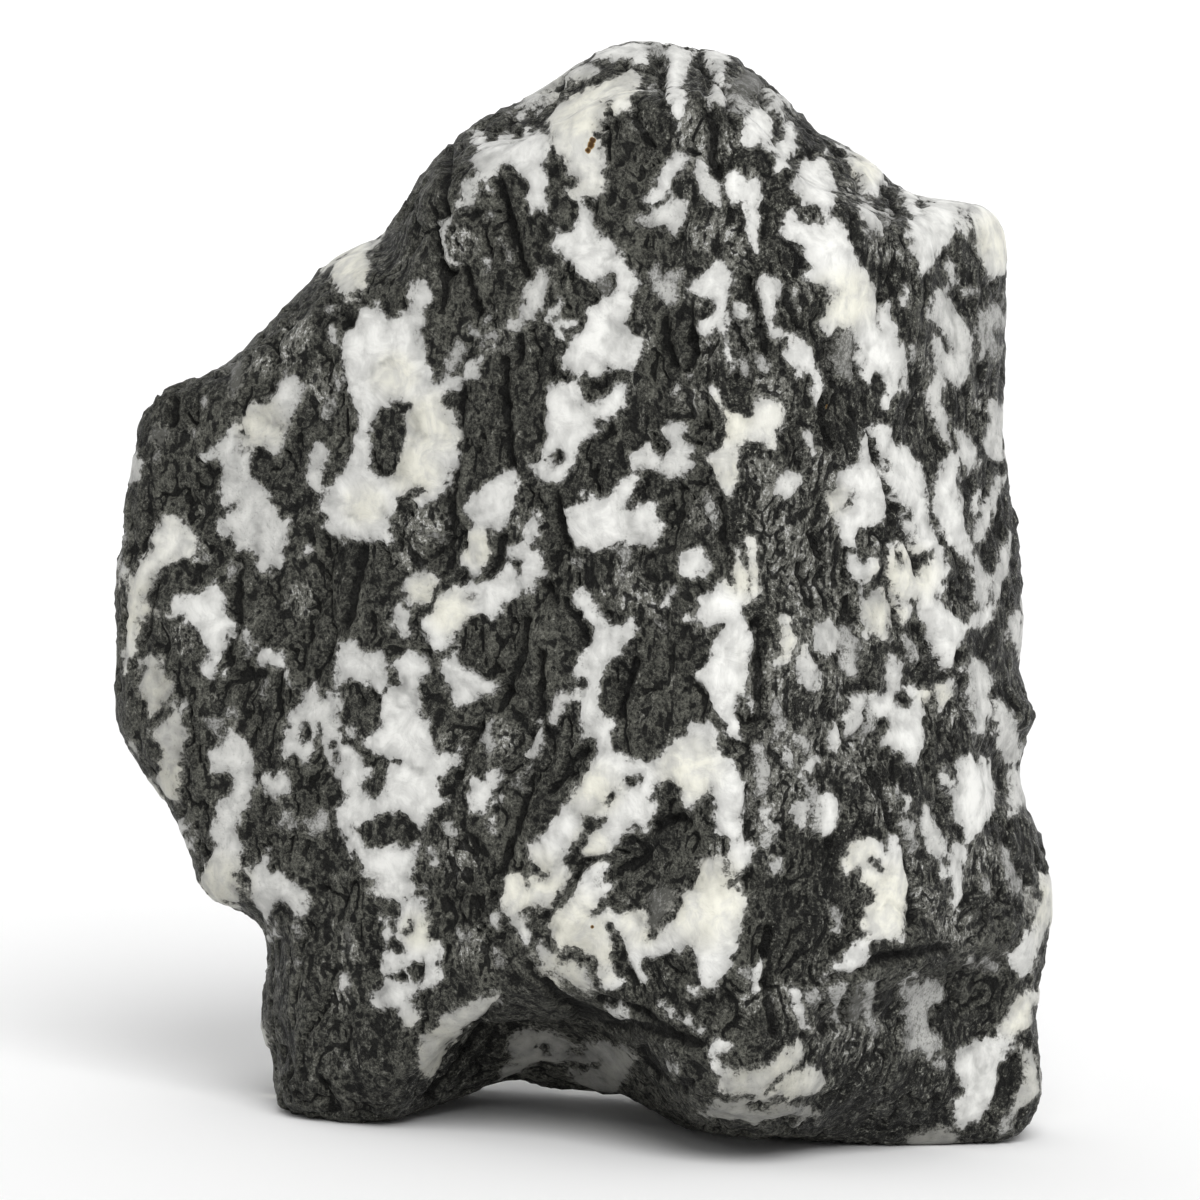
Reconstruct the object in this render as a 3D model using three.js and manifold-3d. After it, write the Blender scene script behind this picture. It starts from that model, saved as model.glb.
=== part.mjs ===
// Rough tourmaline: a chunk of rock in which black tourmaline and milky quartz have grown together.
// Millimetres, +Z up. The broad face with the upright ridge looks along -Y, and the stone stands on
// two feet with a low arch between them. It grew as one piece, so it is one solid.
import * as THREE from 'three';
import Module from 'manifold-3d';
import { ImprovedNoise } from 'three/addons/math/ImprovedNoise.js';
import { mergeVertices } from 'three/addons/utils/BufferGeometryUtils.js';

// The stone is drawn upright, with x to the right, y away from the ridge and z up, and is then
// leaned to the left by SEAT_LEAN, which brings both feet down on one level.
const SEAT_LEAN = THREE.MathUtils.degToRad(2.6);

// The widest section, which is the outline seen from in front: x and z, clockwise from the summit.
const OUTLINE = [
  [3.0, 60.2], [5.9, 59.7], [8.2, 59.2], [9.4, 58.1], [11.0, 57.0], [11.1, 56.4], [12.7, 55.0],
  [15.4, 53.6], [16.2, 52.8], [17.6, 51.7], [20.5, 51.3], [21.9, 51.2], [22.6, 50.4], [22.9, 48.0],
  [22.9, 44.4], [22.6, 40.6], [22.7, 38.0], [23.3, 34.8], [23.9, 31.2], [23.8, 27.2], [23.5, 25.6],
  [24.5, 23.6], [24.2, 22.4], [23.6, 20.9], [23.9, 18.6], [25.0, 16.5], [25.6, 13.2], [25.2, 9.8],
  [24.6, 7.2], [24.9, 4.6], [25.1, 2.6], [24.8, 1.4], [23.8, 0.4], [21.8, -0.8], [17.5, -0.8],
  [10.7, 0.6], [5.5, 0.9], [3.9, 1.4], [2.4, 2.4], [-1.4, 2.6], [-4.6, 3.2], [-6.9, 2.2],
  [-10.0, 1.4], [-13.2, 0.6], [-16.4, 1.0], [-17.2, 2.2], [-17.1, 4.3], [-17.9, 6.0], [-17.7, 8.1],
  [-17.4, 10.8], [-18.3, 12.5], [-20.8, 13.2], [-21.4, 15.0], [-22.6, 17.9], [-24.1, 20.0],
  [-25.3, 21.8], [-25.9, 23.5], [-25.9, 27.6], [-25.8, 32.6], [-24.9, 36.4], [-24.6, 39.2],
  [-23.7, 40.8], [-22.6, 41.6], [-21.3, 41.7], [-19.7, 42.5], [-17.9, 44.0], [-14.4, 47.6],
  [-13.1, 48.6], [-11.0, 49.4], [-10.1, 51.1], [-8.6, 53.3], [-7.4, 54.7], [-5.9, 55.9],
  [-4.0, 56.6], [-1.5, 58.1], [0.8, 59.7],
];
const OUTLINE_STEPS = 900;
const OUTLINE_DEPTH = 3.5; // how far back the widest section lies
const OUTLINE_LEAN = Math.tan(THREE.MathUtils.degToRad(5)); // the sides sink by this slope to the back
const DRAW_IN = { slope: 0.1, curve: 0.005, round: 2 }; // how the sides draw in on both sides of it
const FEET_TOP = { from: 1, to: 9 }; // the feet go straight down; the sides draw in above this height

// The broken faces that bound the stone: a point on each face, and the way that it faces.
const FACES = [
  { name: 'left of the ridge', at: [8.5, -15, 30], out: [-0.44, -0.9, 0.04] },
  { name: 'far left edge', at: [-22, -4.5, 34], out: [-0.82, -0.57, 0.02] },
  { name: 'right of the ridge', at: [8.5, -15, 30], out: [0.53, -0.85, 0.03] },
  { name: 'far right side', at: [17, -9.6, 30], out: [0.83, -0.56, 0.06] },
  { name: 'brow under the summit', at: [7, -14, 47], out: [-0.05, -0.96, 0.28] },
  { name: 'back', at: [0, 16, 30], out: [0.05, 0.98, 0.1] },
  { name: 'back left', at: [-18, 11.5, 30], out: [-0.62, 0.78, 0.06] },
  { name: 'back right', at: [19.5, 11.5, 28], out: [0.76, 0.64, 0.05] },
  { name: 'back of the summit', at: [2, 10, 56.5], out: [-0.1, 0.6, 0.79] },
  { name: 'low back', at: [0, 15, 8], out: [0.1, 0.88, -0.46] },
  { name: 'right toe', at: [15, -9.5, 2.3], out: [0.3, -0.55, -0.78] },
  { name: 'left toe', at: [-14, -4.2, 2.6], out: [-0.2, -0.55, -0.8] },
];
const EDGE_ROUNDING = 2.2;
const RIM_ROUNDING = 1.4;

// Away from the widest section the sides wander in from the outline, by an angle and by a depth.
const WANDER = { size: 9, turn: 0.07, depth: 2.2, from: 1, to: 8 };

// The small overhang across the lower right, above a block that is set back.
const LEDGE_LINE = [[11.5, 9.7], [15.5, 10.8], [22.6, 11.6], [26, 10.2]]; // x and z, left to right
const LEDGE_STEP = 1.9; // how far the block is set back
const LEDGE_DROP = 1.5; // the height over which it steps back
const LEDGE_LIP = 0.5; // how far the lip of the overhang stands out
const LEDGE_LEFT = { from: 9, to: 13.5 }; // where it comes out of the face, in x
const LEDGE_BACK = { from: -4, to: 1.5 }; // where it runs out again, in y

// Hollows broken out of the stone: centre, half sizes, and how softly the rim is rounded.
const HOLLOWS = [
  { name: 'undercut between the feet', at: [-2.6, -16, -2.6], half: [9.8, 19.5, 13], rim: 1.2 },
  { name: 'undercut at the foot of the ridge', at: [6.5, -21, -3], half: [9, 15, 7.8], rim: 1.2 },
  { name: 'shell-shaped break in the back', at: [-7, 24, 37], half: [12, 11, 14], rim: 2 },
  { name: 'break low in the back', at: [12, 22, 14], half: [9, 9, 8], rim: 2 },
];

// Lumps and hackly crests of the rough surface. They follow the upright grain of the tourmaline.
const LUMPS = [
  { across: 9, along: 14, height: 0.7 },
  { across: 4.2, along: 8, height: 0.6 },
  { across: 2.4, along: 5.5, height: 0.35 },
];
const CRESTS = { across: 6.5, along: 11, height: 0.6, level: 0.22 };
const LUMP_FREE_RIM = 3.2; // they fade out over this distance from the widest section
const RIM_SHARE = 0.12; // and keep this share of their height on it
const BACK_SHARE = 2; // they are this much higher on the back than on the front
const BACK = { from: 4, to: 12 }; // where the front passes into the back, in y

// The seat: the level cut on which both feet rest.
const SEAT_POINT = new THREE.Vector3(19, 0, 0.35); // a point of the seat, under the right foot

// The mesh: rays from the heart of the stone, spread to suit its half sizes.
const HEART = new THREE.Vector3(0, 0, 30);
const HALF_SIZES = new THREE.Vector3(25, 16, 30);
const RAY_DETAIL = 20;
const LONGEST_RAY = 60;
const HALVINGS = 32;
const WELD = 1e-5; // corners of the ball closer than this are one
const BLOCK_SIDE = 120;

const noise = new ImprovedNoise();
const ramp = (value, { from, to }) => THREE.MathUtils.smoothstep(value, from, to);

// The larger of two values, rounded where they are within `width` of each other.
function softMax(a, b, width) {
  const overlap = Math.max(width - Math.abs(a - b), 0) / width;
  return Math.max(a, b) + overlap * overlap * width / 4;
}

// The outline as rows of angle and radius about the heart, in order of angle.
function outlineRows() {
  const corners = OUTLINE.map(([x, z]) => new THREE.Vector3(x, 0, z));
  const curve = new THREE.CatmullRomCurve3(corners, true, 'centripetal');
  const rows = curve.getPoints(OUTLINE_STEPS).map((point) => ({
    angle: Math.atan2(point.z - HEART.z, point.x - HEART.x),
    radius: Math.hypot(point.x - HEART.x, point.z - HEART.z),
  }));
  return rows.sort((one, other) => one.angle - other.angle);
}
const rows = outlineRows();

function outlineRadius(angle) {
  let low = 0;
  let high = rows.length - 1;
  if (angle <= rows[low].angle || angle >= rows[high].angle) {
    return rows[low].radius;
  }
  while (high - low > 1) {
    const middle = (low + high) >> 1;
    if (rows[middle].angle <= angle) low = middle;
    else high = middle;
  }
  const span = rows[high].angle - rows[low].angle;
  const share = span > 0 ? (angle - rows[low].angle) / span : 0;
  return rows[low].radius + share * (rows[high].radius - rows[low].radius);
}

// How far a point is outside the drawn-in outline; below zero inside it.
function outsideOutline(point) {
  const depth = point.y - OUTLINE_DEPTH;
  const x = point.x - HEART.x;
  const z = point.z + OUTLINE_LEAN * depth - HEART.z;
  const radius = Math.hypot(x, z);
  const { slope, curve, round } = DRAW_IN;
  const drawnIn = slope * (Math.hypot(depth, round) - round) + curve * depth * depth;
  const aboveFeet = ramp(point.z, FEET_TOP);
  const wander = aboveFeet * ramp(Math.abs(depth), WANDER);
  const [a, b, c] = point.toArray().map((part) => part / WANDER.size);
  const turned = WANDER.turn * wander * noise.noise(a, b, c);
  const dented = WANDER.depth * wander * (0.5 + noise.noise(b, c, a));
  return radius - outlineRadius(Math.atan2(z, x) + turned) + dented + drawnIn * aboveFeet;
}

function ledgeHeight(x) {
  const next = LEDGE_LINE.findIndex(([corner]) => x < corner);
  if (next <= 0) return LEDGE_LINE.at(next)[1];
  const [[x0, z0], [x1, z1]] = LEDGE_LINE.slice(next - 1, next + 1);
  return THREE.MathUtils.mapLinear(x, x0, x1, z0, z1);
}

// How far the front is set back under the ledge, less the lip that stands out above it.
function setBackUnderLedge(point) {
  const below = ledgeHeight(point.x) - point.z;
  const full = ramp(point.x, LEDGE_LEFT) * (1 - ramp(point.y, LEDGE_BACK));
  const lip = LEDGE_LIP * Math.exp(-(((below + LEDGE_DROP) / LEDGE_DROP) ** 2));
  return full * (LEDGE_STEP * ramp(below, { from: 0, to: LEDGE_DROP }) - lip);
}

const facePlanes = FACES.map(({ at, out }) => new THREE.Plane().setFromNormalAndCoplanarPoint(
  new THREE.Vector3(...out).normalize(),
  new THREE.Vector3(...at),
));

function outsideFaces(point) {
  return facePlanes.reduce(
    (outside, plane) => softMax(outside, plane.distanceToPoint(point), EDGE_ROUNDING),
    -LONGEST_RAY,
  );
}

// How deep a point is inside a hollow; below zero outside it.
function insideHollow(point, { at, half }) {
  const x = (point.x - at[0]) / half[0];
  const y = (point.y - at[1]) / half[1];
  const z = (point.z - at[2]) / half[2];
  return (1 - Math.hypot(x, y, z)) * Math.min(...half);
}

// Noise drawn out along the upright grain; each size of it has its own place in the noise.
function grain(point, { across, along }) {
  return noise.noise(point.x / across + along, point.y / across, point.z / along + across);
}

function lumps(point) {
  const crests = CRESTS.height * (Math.abs(grain(point, CRESTS)) - CRESTS.level);
  return LUMPS.reduce((sum, size) => sum + size.height * grain(point, size), crests);
}

// Above zero outside the stone and below zero inside it, in millimetres near the surface.
function outsideStone(point) {
  const outline = outsideOutline(point);
  const fromRim = ramp(-outline, { from: 0, to: LUMP_FREE_RIM });
  const front = outsideFaces(point) + setBackUnderLedge(point);
  let outside = softMax(outline, front, RIM_ROUNDING);
  for (const hollow of HOLLOWS) {
    outside = softMax(outside, insideHollow(point, hollow), hollow.rim);
  }
  const onBack = 1 + (BACK_SHARE - 1) * ramp(point.y, BACK);
  return outside + lumps(point) * (RIM_SHARE + (1 - RIM_SHARE) * fromRim) * onBack;
}

// The length of a ray from the heart to the surface.
function reach(direction) {
  let inside = 0;
  let outside = LONGEST_RAY;
  const point = new THREE.Vector3();
  for (let i = 0; i < HALVINGS; i++) {
    const middle = (inside + outside) / 2;
    point.copy(HEART).addScaledVector(direction, middle);
    if (outsideStone(point) < 0) inside = middle;
    else outside = middle;
  }
  return inside;
}

function stoneGeometry() {
  const ball = new THREE.IcosahedronGeometry(1, RAY_DETAIL);
  ball.deleteAttribute('normal');
  ball.deleteAttribute('uv');
  const geometry = mergeVertices(ball, WELD);
  const position = geometry.attributes.position;
  const direction = new THREE.Vector3();
  for (let i = 0; i < position.count; i++) {
    direction.fromBufferAttribute(position, i).multiply(HALF_SIZES).normalize();
    direction.multiplyScalar(reach(direction)).add(HEART);
    position.setXYZ(i, direction.x, direction.y, direction.z);
  }
  return geometry;
}

function toSolid(geometry) {
  return new wasm.Manifold(new wasm.Mesh({
    numProp: 3,
    vertProperties: new Float32Array(geometry.attributes.position.array),
    triVerts: new Uint32Array(geometry.index.array),
  }));
}

function toGeometry(solid) {
  const { vertProperties, triVerts } = solid.getMesh();
  const geometry = new THREE.BufferGeometry();
  geometry.setAttribute('position', new THREE.BufferAttribute(vertProperties, 3));
  geometry.setIndex(new THREE.BufferAttribute(triVerts, 1));
  return geometry;
}

// A block that holds everything above the seat.
function blockAboveSeat(seatHeight) {
  const block = new THREE.BoxGeometry(BLOCK_SIDE, BLOCK_SIDE, BLOCK_SIDE);
  block.deleteAttribute('normal');
  block.deleteAttribute('uv');
  block.translate(0, 0, seatHeight + BLOCK_SIDE / 2);
  return mergeVertices(block);
}

// Leans the stone onto its feet, cuts the seat level, and puts the middle of its box over the origin.
function setDown(geometry) {
  geometry.rotateY(-SEAT_LEAN);
  const seatHeight = SEAT_POINT.clone().applyAxisAngle(new THREE.Vector3(0, 1, 0), -SEAT_LEAN).z;
  const seated = toGeometry(toSolid(geometry).intersect(toSolid(blockAboveSeat(seatHeight))));
  seated.computeBoundingBox();
  const { min, max } = seated.boundingBox;
  seated.translate(-(min.x + max.x) / 2, -(min.y + max.y) / 2, -min.z);
  seated.computeVertexNormals();
  return seated;
}

const wasm = await Module();
wasm.setup();

const stone = new THREE.Mesh(
  setDown(stoneGeometry()),
  new THREE.MeshStandardMaterial({ color: 0x6e6e6b, roughness: 0.7, metalness: 0 }),
);
stone.name = 'tourmaline_stone';

const specimen = new THREE.Group();
specimen.add(stone);
export default specimen;
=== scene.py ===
"""Rough tourmaline: black fibrous tourmaline grown together with milky quartz, one upright stone.

The stone's skin is one fine mesh made over the solid: it is remeshed, roughened along the grain and
coloured by how deep each point lies inside a quartz patch. Lengths in the mesh work are millimetres.
"""
import math

import bmesh
import bpy
import numpy as np
from mathutils import Matrix, Vector
from mathutils.bvhtree import BVHTree


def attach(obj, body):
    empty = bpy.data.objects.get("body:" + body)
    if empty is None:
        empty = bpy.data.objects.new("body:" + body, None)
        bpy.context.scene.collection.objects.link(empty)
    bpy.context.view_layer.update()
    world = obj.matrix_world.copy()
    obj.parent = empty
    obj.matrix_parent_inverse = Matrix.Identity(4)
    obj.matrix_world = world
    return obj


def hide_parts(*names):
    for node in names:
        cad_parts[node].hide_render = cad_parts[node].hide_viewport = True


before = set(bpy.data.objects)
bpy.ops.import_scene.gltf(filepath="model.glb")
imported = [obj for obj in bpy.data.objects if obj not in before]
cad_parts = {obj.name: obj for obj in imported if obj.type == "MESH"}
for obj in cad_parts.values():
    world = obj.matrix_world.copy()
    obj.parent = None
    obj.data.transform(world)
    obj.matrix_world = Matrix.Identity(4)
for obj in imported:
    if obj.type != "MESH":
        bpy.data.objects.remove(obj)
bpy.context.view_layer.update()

bl_info = {
    "name": "Rough Tourmaline",
    "version": (1, 0, 0),
    "blender": (4, 5, 0),
    "location": "3D View > Sidebar > Tourmaline",
    "description": "Builds a rough black tourmaline with milky quartz, and its stage",
    "category": "Add Mesh",
}

STONE_NODE = "tourmaline_stone"
MM = 0.001

# ---------------------------------------------------------------------------------------------
# The front view: where the front is looked at from, and the drawing grid its markings are set
# out on. The grid is square, GRID_SIDE steps a side, v counts downwards, GRID_PER_MM steps to a
# millimetre at the stone's middle.
# ---------------------------------------------------------------------------------------------
GRID_SIDE = 1200
GRID_PER_MM = 18.4
STONE_CENTRE_ON_GRID = (582.5, 593.5)
GROUND_ON_GRID = 1148.0
EYE_DISTANCE = 430.0
EYE_ELEVATION = math.radians(5.0)
STONE_LEAN = math.radians(2.6)
AIM_HEIGHT = 30.0
SENSOR = 36.0

# Quartz patches on the front: each has its tone and its outline as (u, v) points on the drawing grid,
# joined by a smooth closed curve. They are listed by the part of the front that they lie on.
CROWN_PATCHES = (
    ("cream", ((552, 112), (566, 97), (618, 76), (632, 69), (644, 80), (632, 92), (628, 110), (606, 122),
     (601, 150), (607, 170), (598, 195), (572, 200), (566, 192), (575, 188), (576, 180), (568, 173),
     (563, 155), (556, 154), (549, 140))),
    ("pale", ((508, 117), (534, 91), (584, 62), (597, 73), (566, 84), (545, 100))),
    ("white", ((590, 61), (606, 46), (643, 39), (650, 62), (634, 64), (629, 58))),
    ("grey", ((644, 39), (655, 38), (660, 46), (650, 52))),
    ("white", ((668, 44), (690, 44), (690, 60), (685, 90), (684, 118), (670, 112), (666, 60))),
    ("white", ((700, 48), (724, 58), (727, 80), (716, 80), (712, 66))),
    ("pale", ((712, 80), (726, 95), (724, 108), (710, 100))),
    ("grey", ((728, 85), (742, 100), (756, 104), (740, 112))),
    ("smoke", ((740, 78), (758, 74), (765, 84), (744, 96))),
    ("white", ((745, 119), (760, 106), (772, 122), (770, 142), (760, 142), (744, 144))),
    ("white", ((791, 118), (795, 145), (779, 174), (776, 158), (770, 147), (778, 144))),
    ("white", ((682, 151), (690, 168), (674, 181), (664, 200), (652, 207), (641, 197), (654, 186),
     (656, 176))),
    ("pale", ((694, 162), (706, 165), (712, 182), (720, 190), (720, 206), (701, 196))),
    ("pale", ((646, 210), (660, 206), (676, 198), (690, 206), (675, 237), (664, 226), (650, 230))),
    ("grey", ((632, 222), (638, 216), (645, 218), (647, 226))),
    ("white", ((722, 180), (739, 170), (745, 184), (753, 177), (760, 188), (756, 252), (743, 204),
     (734, 202))),
    ("white", ((472, 136), (484, 128), (488, 140), (494, 135), (510, 133), (515, 138), (526, 128),
     (535, 130), (545, 128), (550, 145), (545, 175), (549, 215), (538, 210), (533, 215), (526, 198),
     (527, 188), (510, 166), (488, 180), (475, 172), (473, 155), (478, 150))),
    ("pale", ((478, 178), (470, 205), (458, 210), (465, 184))),
)
UPPER_PATCHES = (
    ("white", ((572, 234), (552, 228), (555, 236), (552, 244), (560, 258), (570, 262), (590, 283),
     (610, 274), (615, 290), (586, 308), (582, 325), (561, 358), (579, 379), (586, 372), (590, 377),
     (603, 374), (604, 366), (620, 372), (636, 366), (643, 342), (627, 326), (634, 294), (638, 280),
     (626, 266), (609, 236), (597, 240), (598, 230), (587, 212), (587, 198), (579, 198))),
    ("smoke", ((600, 278), (612, 278), (610, 294), (597, 290))),
    ("pale", ((552, 272), (548, 290), (538, 319), (530, 322), (524, 330), (502, 329), (518, 315),
     (525, 281), (532, 283), (540, 270))),
    ("white", ((541, 400), (551, 384), (577, 381), (582, 400), (595, 403), (620, 382), (628, 398),
     (612, 420), (596, 419), (593, 425), (596, 432), (585, 440), (572, 470), (560, 482), (540, 484),
     (528, 462), (535, 462), (545, 436), (543, 425), (546, 415))),
    ("pale", ((682, 421), (691, 453), (687, 458), (694, 462), (676, 480), (654, 470), (638, 468),
     (632, 472), (627, 455), (648, 443), (660, 458), (668, 445), (661, 428))),
    ("grey", ((648, 280), (657, 264), (662, 278), (668, 270), (688, 271), (684, 280), (677, 282),
     (679, 292), (666, 304))),
    ("white", ((686, 290), (726, 258), (731, 295), (725, 320), (732, 350), (730, 372), (718, 328),
     (705, 336), (697, 325), (712, 315), (714, 298))),
    ("pale", ((733, 305), (740, 301), (748, 314), (734, 316))),
    ("pale", ((762, 278), (778, 280), (782, 296), (775, 300), (775, 322), (780, 330), (773, 336),
     (761, 298))),
    ("grey", ((751, 355), (767, 358), (768, 368), (762, 372))),
    ("cream", ((717, 397), (748, 420), (752, 405), (768, 394), (783, 410), (781, 428), (775, 432),
     (772, 448), (748, 440), (744, 446), (737, 450), (737, 472), (727, 500), (711, 466), (705, 460),
     (729, 438), (722, 424), (728, 420), (717, 408))),
    ("pale", ((778, 474), (795, 473), (800, 480), (790, 498), (774, 490))),
)
MIDDLE_PATCHES = (
    ("white", ((565, 512), (588, 499), (583, 490), (603, 497), (632, 474), (637, 486), (625, 506),
     (631, 509), (654, 500), (654, 520), (664, 524), (650, 550), (636, 543), (630, 547), (622, 540),
     (600, 551), (582, 546), (573, 545))),
    ("grey", ((613, 548), (622, 544), (634, 556), (622, 566))),
    ("white", ((689, 547), (711, 563), (703, 576), (698, 570), (693, 580), (679, 571))),
    ("grey", ((706, 488), (714, 502), (715, 528), (702, 502))),
    ("white", ((571, 598), (578, 592), (580, 586), (597, 596), (595, 604), (613, 628), (630, 620),
     (632, 635), (601, 681), (604, 715), (617, 720), (608, 752), (598, 752), (594, 742), (577, 740),
     (583, 730), (577, 708), (586, 682), (573, 675), (592, 638))),
    ("white", ((717, 584), (735, 586), (748, 630), (754, 632), (747, 685), (754, 710), (736, 692),
     (733, 715), (741, 740), (733, 737), (726, 738), (726, 728), (706, 690), (695, 677), (709, 661),
     (710, 645), (725, 622), (706, 625), (695, 610))),
    ("white", ((592, 752), (606, 749), (650, 762), (673, 737), (686, 736), (688, 722), (700, 722),
     (714, 720), (714, 750), (722, 754), (745, 784), (741, 838), (757, 848), (736, 878), (728, 850),
     (732, 842), (714, 828), (716, 806), (708, 792), (686, 812), (680, 792), (668, 778), (651, 799),
     (656, 806), (645, 836), (634, 827), (612, 851), (581, 858), (586, 836), (598, 828), (606, 814),
     (592, 818), (583, 817), (580, 838), (562, 862), (569, 872), (552, 908), (534, 906), (524, 915),
     (531, 935), (528, 945), (513, 932), (510, 920), (500, 905), (502, 880), (500, 874), (520, 874),
     (524, 878), (537, 868), (530, 862), (527, 843), (535, 840), (556, 818), (588, 765))),
    ("white", ((583, 872), (600, 862), (611, 866), (600, 885), (608, 883), (613, 888), (590, 915),
     (607, 910), (614, 913), (640, 909), (648, 918), (648, 938), (662, 930), (680, 905), (676, 895),
     (694, 886), (702, 858), (727, 862), (727, 888), (738, 884), (742, 895), (748, 900), (741, 922),
     (732, 962), (714, 990), (701, 978), (695, 955), (686, 948), (643, 962), (649, 975), (641, 984),
     (628, 960), (620, 932), (611, 938), (612, 972), (624, 983), (605, 990), (596, 962), (570, 948),
     (562, 952), (551, 938), (551, 918), (566, 904))),
    ("smoke", ((650, 893), (672, 890), (672, 910), (652, 932))),
    ("pale", ((533, 722), (539, 720), (541, 748), (530, 760), (525, 752), (535, 733))),
    ("pale", ((575, 690), (568, 693), (560, 692), (546, 716), (554, 726), (562, 712), (578, 698))),
    ("white", ((488, 773), (502, 769), (488, 808), (473, 814), (468, 797), (472, 788), (471, 779),
     (485, 779))),
    ("grey", ((478, 735), (497, 718), (494, 733), (497, 745), (488, 762), (486, 745))),
    ("pale", ((488, 915), (501, 912), (497, 930), (489, 926))),
    ("grey", ((490, 948), (498, 950), (505, 960), (500, 968))),
)
LEFT_PATCHES = (
    ("cream", ((326, 262), (345, 246), (376, 237), (384, 241), (378, 247), (373, 245), (362, 290),
     (356, 291), (344, 299))),
    ("white", ((362, 306), (380, 306), (387, 320), (412, 304), (406, 293), (420, 280), (432, 297),
     (424, 314), (426, 324), (421, 333), (436, 383), (447, 372), (462, 380), (445, 395), (450, 411),
     (456, 413), (458, 458), (448, 473), (449, 485), (430, 507), (412, 502), (425, 490), (408, 489),
     (388, 522), (394, 524), (390, 530), (391, 546), (385, 547), (380, 539), (345, 541), (338, 536),
     (330, 538), (322, 526), (328, 518), (320, 513), (320, 497), (341, 470), (360, 412), (347, 392),
     (342, 338), (352, 325))),
    ("grey", ((455, 339), (465, 350), (458, 365), (460, 373), (440, 378), (444, 366))),
    ("pale", ((468, 362), (485, 355), (476, 378), (463, 382))),
    ("pale", ((283, 372), (305, 387), (285, 425), (285, 440), (277, 456), (262, 448), (252, 455),
     (251, 475), (268, 492), (285, 520), (292, 517), (280, 572), (275, 568), (260, 577), (254, 552),
     (240, 551), (233, 535), (228, 538), (217, 526), (240, 500), (232, 500), (222, 507), (220, 458),
     (206, 462), (201, 456), (226, 435), (230, 418), (238, 422), (254, 401), (268, 402))),
    ("pale", ((320, 441), (330, 450), (326, 458), (328, 466), (322, 472), (320, 490), (309, 486),
     (305, 470))),
    ("smoke", ((230, 365), (242, 366), (238, 390), (231, 395))),
    ("smoke", ((152, 432), (160, 424), (167, 430), (160, 448))),
    ("pale", ((326, 327), (333, 325), (337, 339), (330, 340))),
    ("cream", ((160, 518), (176, 518), (196, 538), (190, 557), (150, 580), (136, 645), (122, 676),
     (126, 598), (138, 560), (152, 548), (150, 540))),
    ("white", ((176, 595), (204, 592), (214, 584), (222, 588), (226, 610), (237, 625), (228, 640),
     (213, 681), (200, 668), (210, 655), (184, 618), (176, 618), (171, 612))),
    ("pale", ((242, 630), (248, 627), (255, 645), (245, 655))),
    ("white", ((256, 655), (268, 646), (274, 652), (282, 653), (283, 669), (266, 664), (256, 665))),
    ("beige", ((135, 660), (160, 657), (158, 665), (173, 690), (162, 708), (150, 716), (139, 685),
     (146, 668), (138, 667))),
    ("beige", ((168, 707), (175, 700), (172, 712), (180, 716), (186, 752), (180, 762), (179, 795),
     (168, 808), (148, 783), (160, 770), (158, 762), (163, 755), (160, 745), (150, 735), (170, 715))),
    ("grey", ((206, 720), (222, 716), (234, 708), (233, 717), (218, 728), (216, 737))),
    ("pale", ((231, 728), (252, 750), (256, 788), (238, 830), (243, 842), (240, 862), (244, 870),
     (236, 877), (241, 906), (210, 900), (198, 875), (214, 845), (208, 828), (214, 822), (218, 802),
     (233, 790), (228, 772), (216, 775), (204, 758), (214, 745), (222, 748))),
    ("pale", ((260, 778), (266, 773), (272, 778), (278, 772), (286, 775), (292, 795), (278, 795),
     (275, 801), (268, 798))),
    ("grey", ((284, 810), (300, 822), (320, 812), (327, 815), (320, 836), (300, 826), (292, 832),
     (278, 824))),
    ("pale", ((268, 850), (272, 872), (280, 870), (308, 896), (300, 919), (280, 900), (270, 918),
     (262, 920), (246, 875), (248, 865), (254, 868))),
)
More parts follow.
